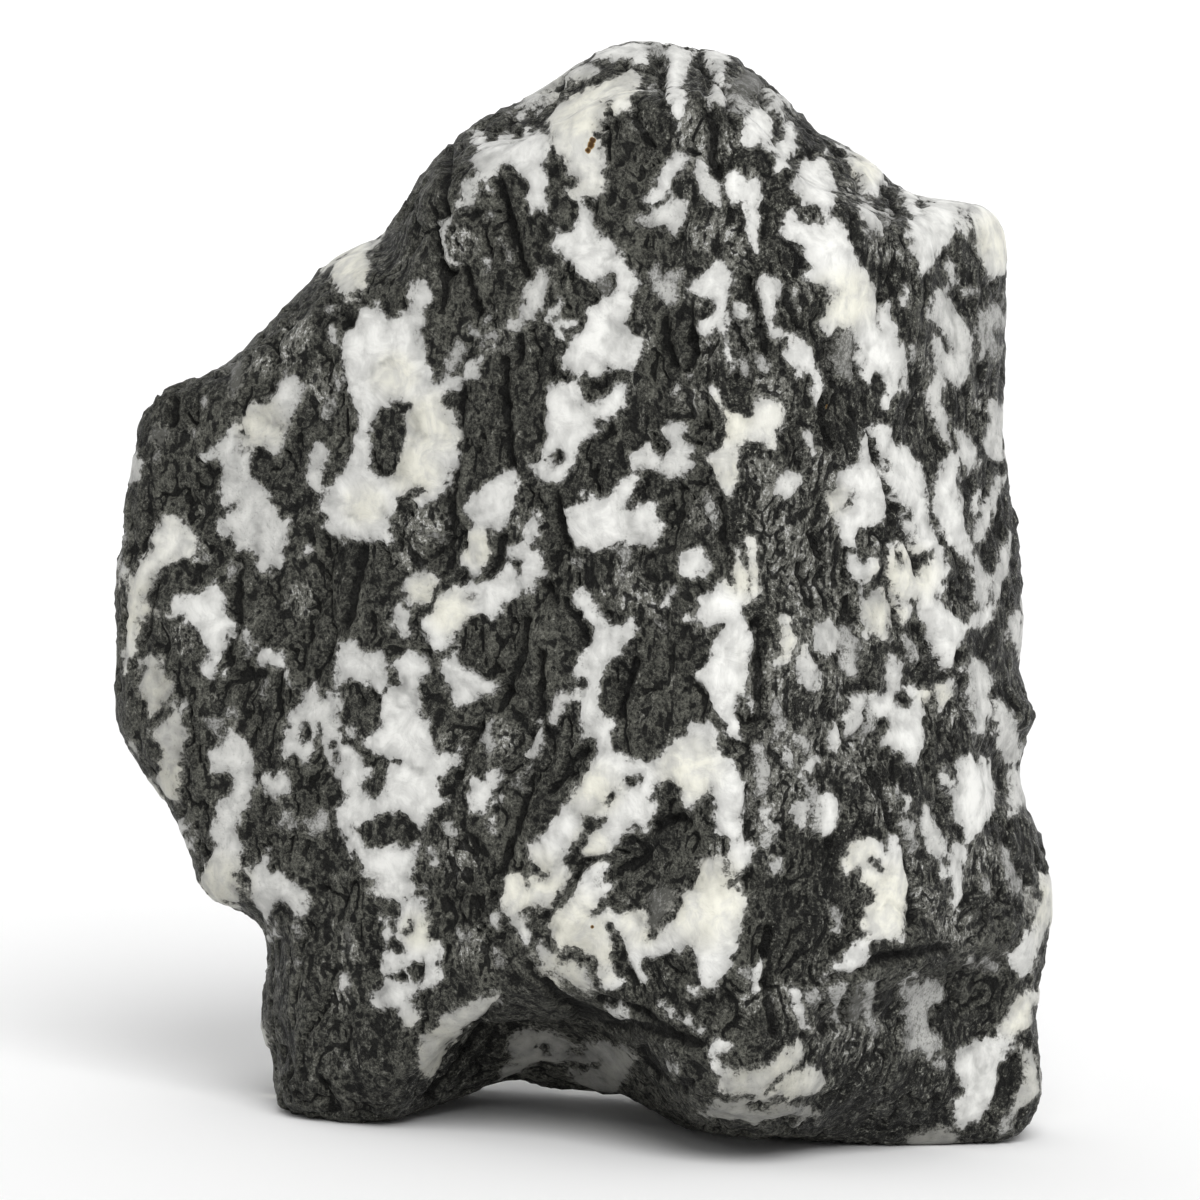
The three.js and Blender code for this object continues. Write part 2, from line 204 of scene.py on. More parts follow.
LEFT_MIDDLE_PATCHES = (
    ("white", ((470, 497), (480, 492), (492, 477), (508, 470), (519, 476), (517, 500), (504, 527),
     (491, 535), (489, 560), (473, 578), (466, 566), (458, 560), (467, 545), (467, 532), (473, 526),
     (465, 515))),
    ("white", ((532, 508), (543, 522), (532, 545), (542, 555), (542, 578), (524, 597), (520, 593),
     (490, 620), (484, 616), (464, 626), (444, 652), (428, 648), (419, 622), (430, 612), (446, 590),
     (492, 577), (508, 562), (516, 574), (520, 560), (507, 560), (505, 547), (523, 538))),
    ("pale", ((400, 583), (420, 572), (437, 578), (430, 603), (414, 606))),
    ("pale", ((400, 601), (409, 611), (411, 637), (404, 640), (392, 625), (396, 617), (394, 609))),
    ("white", ((344, 636), (366, 655), (374, 650), (387, 663), (385, 686), (377, 692), (366, 683),
     (345, 681), (338, 696), (333, 684), (336, 674), (333, 664))),
    ("white", ((456, 651), (462, 665), (484, 680), (497, 683), (494, 692), (466, 706), (455, 702),
     (441, 668))),
    ("white", ((400, 656), (417, 654), (431, 670), (421, 684), (424, 720), (430, 720), (437, 752),
     (461, 748), (457, 764), (440, 778), (439, 796), (447, 800), (431, 813), (422, 834), (412, 823),
     (388, 812), (357, 831), (374, 849), (392, 843), (406, 846), (420, 843), (413, 880), (423, 888),
     (409, 899), (424, 898), (430, 938), (442, 942), (437, 964), (444, 978), (418, 992), (414, 1003),
     (420, 1012), (411, 1029), (394, 1017), (396, 1008), (378, 1009), (371, 998), (380, 983), (396, 977),
     (420, 980), (421, 960), (394, 975), (379, 972), (388, 948), (400, 953), (405, 947), (395, 936),
     (397, 904), (371, 892), (378, 880), (364, 873), (334, 816), (345, 793), (330, 738), (338, 742),
     (345, 742), (362, 760), (372, 772), (362, 788), (377, 796), (388, 764), (402, 762), (372, 754),
     (361, 738), (378, 728), (384, 692), (400, 684), (394, 668))),
    ("pale", ((303, 702), (309, 683), (317, 684), (322, 695), (332, 690), (341, 700), (341, 740),
     (352, 775), (336, 776), (322, 745), (320, 722), (309, 765), (296, 758), (281, 754), (288, 718))),
)
RIGHT_PATCHES = (
    ("white", ((800, 160), (813, 162), (824, 154), (828, 170), (836, 186), (828, 218), (810, 203),
     (803, 206), (800, 198), (794, 192))),
    ("white", ((838, 139), (875, 156), (880, 190), (866, 194), (858, 168), (852, 166))),
    ("pale", ((862, 198), (884, 225), (882, 236), (863, 218))),
    ("white", ((797, 222), (815, 222), (824, 227), (836, 217), (852, 245), (852, 255), (875, 292),
     (880, 328), (886, 305), (891, 304), (893, 318), (900, 342), (905, 344), (908, 376), (900, 375),
     (894, 398), (883, 408), (886, 380), (876, 370), (866, 381), (848, 326), (828, 338), (822, 326),
     (830, 302), (831, 290), (805, 280), (803, 272), (810, 265), (800, 248), (782, 232), (791, 208))),
    ("white", ((790, 344), (800, 341), (812, 352), (822, 382), (821, 405), (813, 400), (808, 375),
     (796, 379), (797, 366), (786, 357))),
    ("pale", ((772, 330), (778, 325), (785, 333), (796, 336), (788, 346), (784, 355))),
    ("rose", ((837, 338), (853, 335), (852, 378), (837, 372))),
    ("white", ((903, 188), (914, 188), (922, 212), (926, 206), (924, 192), (957, 197), (957, 228),
     (940, 253), (918, 275), (907, 210))),
    ("pale", ((960, 198), (966, 198), (968, 215), (966, 238), (959, 218))),
    ("white", ((971, 196), (996, 200), (1009, 230), (1009, 262), (992, 283), (973, 228))),
    ("pale", ((948, 264), (954, 262), (956, 285), (950, 295), (971, 336), (966, 374), (954, 388),
     (944, 378), (943, 400), (950, 428), (948, 444), (926, 395), (938, 368), (934, 345), (938, 340),
     (948, 355), (948, 342), (931, 314), (936, 296), (950, 283))),
    ("grey", ((978, 318), (1003, 300), (1002, 325), (994, 326), (990, 335), (996, 345), (992, 355),
     (986, 348), (980, 362))),
    ("pale", ((992, 405), (999, 410), (1005, 445), (1006, 460), (994, 460), (985, 440), (991, 415))),
    ("pale", ((957, 436), (965, 433), (978, 452), (970, 471), (958, 455))),
    ("white", ((873, 430), (885, 422), (897, 445), (907, 450), (925, 476), (930, 525), (938, 545),
     (920, 552), (912, 530), (905, 502), (898, 499), (886, 476), (888, 464))),
    ("white", ((943, 462), (957, 452), (959, 497), (971, 543), (972, 562), (940, 530), (934, 495))),
    ("white", ((890, 545), (900, 541), (913, 556), (916, 573), (932, 560), (930, 552), (940, 548),
     (945, 588), (936, 596), (960, 620), (970, 614), (978, 612), (990, 598), (994, 612), (978, 630),
     (966, 630), (951, 667), (936, 655), (928, 626), (920, 620), (918, 610), (911, 611), (905, 622),
     (888, 575))),
    ("pale", ((972, 560), (988, 575), (990, 590), (978, 610))),
    ("pale", ((1008, 534), (1012, 545), (1006, 580), (994, 600), (990, 590), (1001, 550))),
    ("white", ((866, 446), (872, 462), (880, 470), (886, 505), (881, 521), (858, 530), (851, 550),
     (826, 500), (837, 490), (836, 480), (858, 462))),
)
RIGHT_LOWER_PATCHES = (
    ("white", ((848, 560), (855, 556), (860, 560), (877, 560), (878, 570), (865, 580), (850, 572))),
    ("pale", ((862, 580), (870, 590), (884, 590), (893, 622), (888, 630), (893, 640), (870, 632),
     (863, 636), (861, 598))),
    ("pale", ((812, 628), (830, 620), (840, 635), (832, 653), (815, 645))),
    ("pale", ((850, 653), (856, 658), (855, 677), (844, 670))),
    ("pale", ((806, 645), (819, 675), (818, 688), (803, 686), (797, 660))),
    ("pale", ((888, 662), (895, 657), (903, 678), (896, 700), (886, 690))),
    ("white", ((866, 700), (890, 690), (908, 706), (920, 690), (924, 715), (922, 750), (912, 764),
     (893, 746), (883, 746), (881, 738), (893, 722), (873, 714))),
    ("white", ((905, 686), (930, 690), (926, 700), (906, 696))),
    ("pale", ((852, 695), (870, 702), (862, 712), (866, 722), (854, 735), (846, 718), (852, 708))),
    ("pale", ((828, 728), (839, 724), (838, 748), (832, 753), (826, 745))),
    ("pale", ((810, 755), (818, 757), (814, 773), (806, 771))),
    ("white", ((814, 805), (826, 790), (837, 797), (836, 825), (824, 836))),
    ("pale", ((789, 812), (806, 803), (811, 808), (804, 828))),
    ("pale", ((974, 658), (992, 675), (988, 700), (992, 712), (985, 720), (982, 735), (972, 722),
     (970, 675))),
    ("pale", ((995, 700), (1010, 715), (1020, 740), (1012, 768), (999, 748))),
    ("pale", ((934, 690), (948, 680), (954, 686), (940, 712))),
    ("pale", ((1018, 605), (1026, 615), (1022, 650), (1008, 628))),
    ("white", ((970, 754), (980, 765), (986, 760), (994, 805), (980, 832), (969, 842), (966, 832),
     (955, 815), (956, 770))),
    ("pale", ((944, 766), (952, 788), (947, 792), (942, 782))),
    ("pale", ((1012, 765), (1025, 790), (1008, 818), (1010, 785))),
    ("grey", ((902, 820), (914, 822), (915, 845), (908, 850))),
    ("pale", ((922, 810), (930, 808), (934, 818), (947, 850), (943, 862), (941, 872), (921, 832))),
    ("white", ((952, 846), (964, 852), (957, 909), (950, 880), (944, 876))),
    ("white", ((845, 865), (856, 840), (878, 842), (884, 850), (896, 838), (910, 878), (908, 892),
     (900, 939), (872, 939), (866, 952), (872, 958), (860, 970), (835, 974), (822, 981), (856, 944),
     (871, 932), (862, 926), (873, 895), (864, 882), (860, 870), (848, 872))),
    ("cream", ((1042, 872), (1052, 885), (1053, 925), (1036, 950), (1030, 945), (1034, 930), (1040, 895))),
    ("white", ((1026, 930), (1038, 938), (1034, 962), (1022, 976), (1008, 960), (1020, 946))),
)
FOOT_PATCHES = (
    ("beige", ((540, 940), (560, 962), (582, 964), (595, 990), (578, 988), (536, 958))),
    ("beige", ((446, 1012), (492, 994), (500, 990), (501, 998), (488, 1014), (466, 1028), (446, 1052),
     (430, 1078), (424, 1072), (417, 1068), (422, 1035), (440, 1024))),
    # An underside patch darkened as painted shade.
    ("shaded_beige", ((515, 1032), (548, 1030), (575, 1042), (612, 1041), (638, 1060), (610, 1094), (580, 1090),
     (570, 1072), (540, 1064), (505, 1080), (514, 1056), (505, 1050))),
    ("pale", ((605, 1008), (614, 1009), (620, 1006), (632, 1020), (616, 1018))),
    ("pale", ((674, 1018), (682, 1018), (690, 1014), (696, 1020), (694, 1026), (702, 1031), (694, 1033))),
    ("beige", ((718, 1088), (727, 1076), (765, 1067), (800, 1040), (800, 1062), (785, 1074), (812, 1068),
     (827, 1080), (812, 1094), (760, 1100), (750, 1094))),
    # Two more underside patches darkened as painted shade.
    ("shaded_beige", ((702, 1113), (742, 1100), (795, 1108), (812, 1110), (815, 1118), (790, 1119), (730, 1119))),
    ("shaded_beige", ((902, 1140), (915, 1136), (950, 1128), (952, 1146), (915, 1150))),
    ("cream", ((1042, 986), (1046, 996), (1032, 1003), (1034, 1022), (1018, 1034), (1000, 1030),
     (1018, 998))),
    ("white", ((958, 1050), (998, 1035), (1018, 1040), (1000, 1060), (994, 1096), (965, 1127), (952, 1104),
     (966, 1092), (956, 1074))),
    ("beige", ((1026, 1045), (1036, 1062), (1041, 1090), (1012, 1112), (1024, 1075))),
    ("grey", ((1000, 1132), (1008, 1112), (1014, 1116), (1006, 1130))),
    ("grey", ((828, 990), (845, 984), (836, 1022), (832, 1000))),
    ("grey", ((862, 985), (876, 982), (872, 1010), (878, 1038), (864, 1020))),
    ("smoke", ((858, 990), (860, 1020), (852, 1022), (846, 1012))),
    ("grey", ((902, 990), (935, 980), (944, 996), (930, 1008), (932, 1030), (940, 1040), (930, 1060),
     (915, 1048), (905, 1052), (905, 1010))),
    ("grey", ((741, 972), (748, 968), (750, 976), (746, 985))),
    ("white", ((757, 972), (766, 962), (762, 982), (754, 996))),
)
FRONT_PATCHES = (
    CROWN_PATCHES + UPPER_PATCHES + MIDDLE_PATCHES + LEFT_PATCHES + LEFT_MIDDLE_PATCHES
    + RIGHT_PATCHES + RIGHT_LOWER_PATCHES + FOOT_PATCHES
)

# Thin quartz veins and small spots: strokes of (u, v, half width) on the drawing grid.
VEINS = (
    ("pale", ((768, 92, 4), (776, 104, 5), (784, 114, 3))),
    ("grey", ((649, 85, 3), (652, 83, 3))),
    ("pale", ((549, 318, 3), (557, 306, 3))),
    ("white", ((559, 334, 3), (557, 326, 5), (566, 326, 4), (572, 322, 2))),
    ("pale", ((486, 260, 3), (487, 272, 3))),
    ("pale", ((437, 222, 3), (447, 221, 4), (450, 218, 3))),
    ("pale", ((447, 222, 4), (441, 232, 4), (442, 245, 3), (447, 260, 3), (455, 265, 2))),
    ("grey", ((500, 240, 2), (506, 252, 3), (507, 260, 2))),
    ("pale", ((471, 331, 3), (475, 333, 4))),
    ("grey", ((482, 345, 2), (491, 335, 4), (498, 333, 2))),
    ("grey", ((485, 322, 3), (491, 313, 3))),
    ("grey", ((672, 395, 2), (680, 382, 2), (692, 373, 2))),
    ("grey", ((740, 348, 2), (744, 362, 3), (746, 374, 2))),
    ("white", ((711, 390, 3), (714, 394, 3))),
    ("grey", ((622, 568, 2), (623, 578, 3), (625, 583, 3))),
    ("white", ((668, 600, 4), (665, 605, 3))),
    ("grey", ((671, 590, 4), (676, 586, 3))),
    ("grey", ((656, 622, 4), (661, 627, 3))),
    ("white", ((685, 619, 2), (690, 619, 2))),
    ("grey", ((574, 562, 3), (577, 564, 3))),
    ("cream", ((736, 550, 4), (740, 575, 6), (744, 598, 7))),
    ("cream", ((751, 542, 5), (753, 560, 5), (754, 580, 5), (755, 594, 5))),
    ("cream", ((787, 622, 6), (788, 640, 6), (786, 655, 5))),
    ("pale", ((776, 660, 4), (777, 667, 3))),
    ("grey", ((528, 765, 2), (520, 775, 2))),
    ("pale", ((499, 797, 3), (502, 801, 2))),
    ("grey", ((515, 783, 3), (518, 788, 3))),
    ("pale", ((492, 820, 4), (494, 830, 3))),
    ("pale", ((432, 853, 4), (434, 860, 4))),
    ("grey", ((447, 828, 6), (452, 832, 4))),
    ("pale", ((350, 730, 4), (350, 735, 4))),
    ("grey", ((773, 828, 5), (766, 840, 5))),
    ("pale", ((774, 864, 5), (778, 868, 4))),
    ("white", ((694, 990, 6), (699, 985, 2))),
    ("pale", ((663, 1005, 3), (669, 1012, 4))),
    ("white", ((727, 1044, 4), (720, 1046, 5), (712, 1052, 5), (715, 1062, 4), (720, 1070, 5),
     (730, 1075, 6))),
    ("pale", ((530, 955, 2), (542, 970, 3), (556, 985, 3), (572, 997, 2))),
    ("grey", ((673, 1065, 4), (677, 1069, 4))),
    ("pale", ((387, 922, 3), (387, 935, 5), (384, 944, 2))),
    ("pale", ((343, 978, 4), (343, 986, 5))),
    ("smoke", ((350, 930, 4), (350, 937, 4))),
    ("pale", ((379, 912, 2), (380, 919, 2))),
    ("grey", ((458, 930, 3), (460, 940, 3))),
    ("grey", ((467, 930, 3), (469, 938, 2))),
    ("pale", ((136, 455, 5), (138, 466, 5), (135, 476, 5))),
    ("pale", ((118, 528, 4), (116, 540, 4))),
    ("pale", ((117, 560, 5), (122, 575, 5), (119, 584, 3))),
    ("pale", ((285, 672, 4), (289, 682, 4))),
    ("beige", ((129, 745, 4), (135, 756, 4))),
    ("pale", ((183, 704, 3), (185, 712, 3))),
    ("pale", ((184, 828, 5), (190, 846, 5))),
    ("beige", ((258, 1028, 5), (266, 1044, 4))),
    ("pale", ((273, 928, 4), (273, 936, 4))),
    ("grey", ((298, 928, 4), (298, 933, 3))),
    ("grey", ((295, 963, 3), (297, 961, 2))),
    ("grey", ((272, 970, 4), (274, 973, 3))),
    ("grey", ((345, 1064, 3), (347, 1067, 2))),
    ("white", ((224, 671, 2), (225, 675, 2))),
    ("grey", ((202, 550, 4), (204, 556, 3))),
    ("grey", ((233, 563, 3), (230, 580, 3))),
    ("pale", ((303, 556, 3), (310, 549, 3))),
    ("grey", ((153, 612, 4), (155, 616, 3))),
    ("grey", ((202, 401, 4), (206, 406, 3))),
    ("grey", ((157, 452, 3), (155, 458, 3))),
    ("grey", ((193, 434, 3), (195, 437, 3))),
    ("grey", ((328, 308, 4), (332, 303, 3))),
    ("grey", ((335, 376, 3), (339, 392, 3))),
    ("grey", ((330, 402, 6), (324, 416, 5))),
    ("grey", ((264, 684, 3), (264, 693, 3))),
    ("grey", ((434, 536, 4), (438, 540, 4))),
    ("grey", ((421, 530, 2), (424, 529, 2))),
    ("pale", ((903, 380, 3), (907, 390, 2))),
    ("pale", ((905, 287, 2), (903, 303, 3))),
    ("grey", ((913, 346, 3), (915, 358, 3))),
    ("grey", ((868, 232, 3), (867, 237, 3))),
    ("grey", ((887, 215, 4), (888, 220, 4))),
    ("grey", ((969, 294, 4), (973, 292, 3))),
    ("pale", ((998, 482, 4), (990, 505, 5), (983, 525, 6), (978, 540, 4))),
    ("pale", ((976, 495, 4), (978, 510, 4))),
    ("pale", ((866, 446, 3), (866, 435, 2))),
    ("pale", ((786, 750, 3), (788, 760, 4), (790, 768, 3))),
    ("pale", ((801, 776, 4), (804, 779, 4))),
    ("grey", ((833, 908, 3), (837, 920, 4), (839, 930, 3))),
    ("grey", ((1005, 855, 5), (1010, 872, 6), (1016, 890, 5))),
    ("grey", ((985, 882, 4), (986, 890, 4))),
    ("white", ((797, 992, 3), (800, 1008, 5), (803, 1026, 3))),
    ("grey", ((812, 993, 4), (814, 1006, 3))),
    ("grey", ((940, 1060, 4), (942, 1068, 3))),
    ("grey", ((970, 960, 4), (974, 964, 4))),
    ("grey", ((988, 966, 4), (993, 968, 4))),
    ("grey", ((895, 800, 2), (898, 790, 2))),
    ("pale", ((906, 800, 2), (904, 812, 3))),
    ("grey", ((1030, 890, 3), (1032, 910, 3))),
    ("pale", ((808, 432, 3), (811, 445, 4), (814, 452, 2))),
    ("white", ((488, 188, 3), (490, 191, 2))),
    ("grey", ((486, 212, 3), (490, 215, 3))),
    ("grey", ((845, 632, 7), (853, 650, 9), (846, 668, 5))),
    ("grey", ((758, 748, 5), (764, 770, 7), (760, 792, 5))),
    ("pale", ((766, 812, 5), (771, 832, 4))),
    ("grey", ((800, 735, 4), (806, 750, 4))),
    ("grey", ((812, 790, 5), (822, 808, 6), (818, 828, 4))),
    ("grey", ((775, 700, 3), (780, 722, 5), (776, 740, 3))),
    ("beige", ((735, 636, 3), (741, 662, 4), (740, 690, 2))),
    ("grey", ((905, 640, 4), (915, 658, 5))),
    ("grey", ((868, 700, 4), (872, 722, 5), (866, 740, 3))),
)

# Tourmaline showing through the quartz: islands as outlines, then slits and dots as strokes.
ISLANDS = (
    ((380, 413), (400, 402), (413, 408), (402, 418), (406, 426), (396, 470), (382, 478), (371, 466),
     (369, 445)),
    ((547, 464), (556, 450), (563, 458), (552, 467)),
    ((625, 776), (632, 778), (641, 777), (626, 791)),
    ((301, 722), (313, 732), (308, 741), (301, 743)),
    ((843, 507), (851, 494), (853, 500), (849, 505)),
    ((513, 561), (524, 560), (520, 565), (516, 568)),
    ((532, 870), (540, 868), (546, 878), (533, 876)),
    ((897, 698), (903, 695), (909, 704), (902, 707)),
    ((1000, 1060), (1008, 1052), (1018, 1055), (1014, 1080)),
    ((256, 454), (264, 456), (265, 462), (258, 466)),
)
SLITS = (
    ((608, 106, 2), (607, 116, 2), (601, 127, 3), (597, 134, 3)),
    ((241, 434, 3), (243, 436, 2)),
    ((242, 451, 2), (247, 450, 2)),
    ((735, 407, 4), (737, 408, 4)),
    ((722, 432, 4), (724, 436, 3)),
    ((606, 802, 3), (611, 796, 2)),
    ((728, 868, 3), (728, 882, 3)),
    ((738, 879, 3), (741, 890, 2)),
    ((608, 927, 3), (611, 935, 2)),
    ((527, 879, 2), (528, 881, 2)),
    ((409, 930, 4), (410, 926, 3)),
    ((332, 745, 2), (336, 760, 2)),
    ((766, 1091, 2), (774, 1086, 3), (782, 1080, 2)),
    ((572, 1050, 3), (580, 1048, 3)),
    ((560, 1067, 2), (582, 1068, 3), (599, 1065, 2)),
    ((543, 1045, 3), (548, 1052, 3)),
    ((505, 1056, 6), (508, 1060, 5)),
    ((872, 861, 2), (880, 869, 3)),
    ((866, 586, 3), (867, 594, 2)),
    ((910, 602, 2), (912, 603, 2)),
    ((926, 556, 3), (928, 558, 3)),
    ((473, 599, 2), (475, 598, 2)),
    ((783, 337, 3), (784, 342, 3)),
    ((750, 1105, 2), (770, 1106, 3)),
    ((415, 968, 3), (412, 975, 4)),
    ((897, 548, 2), (900, 562, 2)),
    ((488, 530, 2), (489, 542, 2)),
)

# Soft spots (u, v, radius) on the drawing grid, where the quartz is creamy and where a thin grey
# film of quartz lies over the tourmaline. Rust stains are (u, v) and a radius in millimetres.
CREAM_SPOTS = (
    (395, 375, 30), (430, 425, 42), (415, 470, 36), (365, 505, 28), (350, 268, 34), (585, 115, 50),
    (620, 85, 25), (705, 900, 60), (575, 930, 50), (600, 960, 30), (155, 690, 35), (170, 775, 45),
    (222, 885, 40), (132, 610, 45), (262, 425, 34), (478, 548, 24), (745, 575, 30), (450, 612, 30),
    (905, 575, 40), (730, 420, 36), (725, 470, 25), (535, 890, 50), (770, 1080, 60), (858, 855, 26),
    (885, 900, 50), (690, 770, 40), (595, 790, 34), (885, 615, 30), (590, 845, 24), (1020, 1015, 30),
    (1045, 905, 30), (785, 640, 26), (640, 925, 30), (560, 970, 36), (425, 590, 22), (830, 500, 24),
    (845, 300, 40), (1000, 240, 40), (865, 165, 26), (420, 930, 26), (430, 1050, 50), (935, 695, 22),
)
FILM_SPOTS = (
    (300, 335, 26), (322, 385, 26), (290, 350, 22), (262, 365, 18), (425, 525, 34), (410, 560, 22),
    (625, 585, 30), (645, 600, 26), (790, 760, 60), (760, 800, 50), (765, 690, 45), (790, 560, 55),
    (775, 510, 45), (850, 640, 34), (820, 600, 50), (800, 650, 40), (940, 610, 30), (880, 800, 30),
    (835, 690, 36), (860, 470, 24), (852, 760, 34), (870, 545, 18), (820, 470, 36), (740, 255, 22),
    (690, 130, 34), (730, 140, 18), (880, 245, 26), (850, 190, 18), (945, 715, 24), (975, 860, 40),
    (955, 930, 34), (850, 1035, 46), (790, 1000, 30), (750, 1000, 24), (455, 860, 34), (440, 745, 22),
    (500, 740, 28), (350, 950, 20), (340, 1000, 20), (985, 400, 24), (880, 330, 12), (640, 340, 22),
    (710, 350, 22), (760, 470, 26), (500, 340, 22), (460, 240, 26), (740, 85, 22), (820, 735, 34),
    (200, 555, 16), (300, 600, 24), (180, 640, 22), (470, 945, 26), (760, 850, 30), (915, 860, 20),
    (840, 520, 30), (640, 125, 14), (700, 240, 26), (1000, 350, 20), (700, 520, 24), (515, 520, 16),
    (700, 340, 20), (930, 900, 24), (700, 155, 28), (745, 185, 24), (722, 230, 26), (704, 290, 30),
    (748, 330, 26), (772, 395, 30), (800, 300, 22), (812, 225, 22), (690, 400, 24), (905, 250, 22),
    (930, 360, 22), (700, 620, 22), (720, 860, 26), (650, 520, 20),
)
RUST_SPOTS = (
    (596, 136, 0.15), (593, 140, 0.2), (591, 145, 0.23), (588, 150, 0.2), (592, 927, 0.13),
    (907, 714, 0.2), (828, 408, 0.18), (831, 352, 0.24), (839, 285, 0.13), (911, 603, 0.12),
    (840, 1052, 0.2),
)

# Cracks in the tourmaline, narrow and broad: lines of (u, v) on the drawing grid. Their half widths
# and the slope of their sides are in grid steps.
CRACKS = (
    ((452, 140), (444, 170), (442, 200), (446, 215)),
    ((497, 178), (505, 200), (510, 230), (520, 260), (525, 275)),
    ((440, 215), (436, 240), (438, 260), (448, 275)),
    ((440, 262), (444, 290), (442, 310)),
    ((465, 270), (470, 290), (478, 315)),
    ((518, 335), (517, 360)),
    ((505, 360), (504, 400), (508, 440), (512, 470)),
    ((452, 490), (455, 460), (460, 400), (458, 385)),
    ((450, 480), (448, 520), (446, 545)),
    ((558, 500), (562, 530), (568, 545)),
    ((543, 585), (555, 600)),
    ((525, 620), (520, 660), (510, 680), (500, 710)),
    ((540, 650), (538, 690)),
    ((480, 725), (470, 745), (462, 760), (458, 775)),
    ((550, 790), (562, 780), (570, 760), (585, 750)),
    ((540, 700), (530, 760), (525, 800), (505, 860), (500, 880)),
    ((565, 600), (580, 625), (590, 645)),
    ((635, 660), (625, 690), (618, 715)),
    ((654, 829), (668, 820), (680, 816), (686, 822)),
    ((606, 845), (590, 858), (578, 870), (565, 885), (552, 905), (546, 915)),
    ((745, 790), (745, 820), (748, 845)),
    ((660, 48), (664, 70), (662, 90)),
    ((632, 112), (640, 130), (651, 143)),
    ((607, 114), (602, 124), (596, 134)),
    ((718, 82), (728, 95), (732, 115), (738, 125)),
    ((760, 90), (765, 105), (775, 110)),
    ((728, 310), (735, 330), (742, 350), (748, 370)),
    ((752, 280), (755, 300), (762, 330), (768, 360)),
    ((665, 320), (665, 345), (672, 365)),
    ((690, 330), (694, 350), (688, 370)),
    ((716, 480), (718, 500), (722, 530), (728, 545), (732, 560), (735, 590), (742, 620)),
    ((858, 165), (862, 190)),
    ((880, 180), (895, 200), (885, 230)),
    ((785, 290), (800, 330)),
    ((830, 345), (832, 370), (835, 385)),
    ((857, 330), (858, 370)),
    ((822, 395), (828, 430), (832, 445)),
    ((880, 300), (881, 325)),
    ((870, 430), (880, 455), (888, 480)),
    ((812, 535), (820, 555)),
    ((835, 500), (845, 530), (850, 555), (846, 575)),
    ((801, 565), (806, 590), (815, 605)),
    ((897, 503), (908, 525), (914, 555), (915, 570)),
    ((890, 590), (898, 615)),
    ((930, 640), (938, 660), (948, 670)),
    ((960, 650), (966, 690), (968, 710)),
    ((845, 600), (850, 630), (848, 650)),
    ((905, 860), (912, 890), (915, 920)),
    ((875, 770), (885, 800), (895, 830)),
    ((842, 1000), (845, 1020)),
    ((175, 400), (172, 425)),
    ((238, 560), (238, 620), (225, 655)),
    ((512, 120), (530, 112), (545, 100), (562, 86)),
    ((600, 1000), (640, 1012), (680, 1040)),
    ((640, 1050), (660, 1075), (690, 1085)),
    ((500, 1000), (460, 1060), (430, 1095)),
)
BROAD_CRACKS = (
    ((360, 545), (357, 570), (350, 600), (345, 625)),
    ((500, 540), (500, 560), (488, 575)),
    ((702, 60), (712, 75), (706, 100), (714, 130), (712, 160), (720, 175)),
    ((530, 965), (560, 1000), (600, 1020), (650, 1030), (700, 1045)),
    ((820, 983), (850, 972), (875, 962), (900, 955), (950, 948)),
    ((757, 620), (758, 660), (757, 700), (752, 715)),
    ((770, 930), (768, 970), (772, 1010), (775, 1030)),
    ((150, 580), (143, 605), (141, 640)),
)
CRACK_HALF_WIDTH = 3.0
BROAD_CRACK_HALF_WIDTH = 4.6
CRACK_SLOPE = 3.5

# Round areas (u, v, radius) where the grain leaves the upright: it leans down to the left, flows
# down to the right, or lies nearly level. Then the angle it turns by in each.
LEANING_GRAIN = ((560, 800, 130), (655, 690, 90), (640, 880, 90), (500, 760, 80))
FLOWING_GRAIN = ((560, 1010, 100), (650, 1040, 100), (720, 1080, 60), (480, 985, 60), (600, 980, 60))
LEVEL_GRAIN = ((900, 955, 60), (980, 960, 60), (850, 975, 40))
LEAN_OF_LEANING = math.radians(26)
LEAN_OF_FLOWING = math.radians(-50)
LEAN_OF_LEVEL = math.radians(-62)

# The small bump (u, v, radius) on the right flank.
BUMPS = ((1024, 714, 16),)

# How light and how creamy each named tone of quartz is, and how much of the dark shows through it.
TONES = {
    "white": (1.0, 0.06, 0.0),
    "cream": (0.98, 0.55, 0.0),
    "pale": (0.84, 0.12, 0.08),
    "beige": (0.72, 0.62, 0.06),
    "grey": (0.58, 0.12, 0.4),
    "smoke": (0.3, 0.06, 0.85),
    # Painted shade: beige quartz of the underside, darkened.
    "shaded_beige": (0.4, 0.7, 0.1),
    "rose": (0.4, 0.35, 0.6),
}


# ---------------------------------------------------------------------------------------------
# Settings
# ---------------------------------------------------------------------------------------------
def length_setting(name, description, millimetres):
    """A length that the user can change."""
    return bpy.props.FloatProperty(
        name=name, description=description, default=millimetres * MM, unit="LENGTH", precision=5
    )


def colour_setting(name, description, default):
    """A colour that the user can change."""
    return bpy.props.FloatVectorProperty(
        name=name, description=description, default=default, size=3, subtype="COLOR"
    )


def strength_setting(name, description, default):
    """A light's strength that the user can change."""
    return bpy.props.FloatProperty(name=name, description=description, default=default)


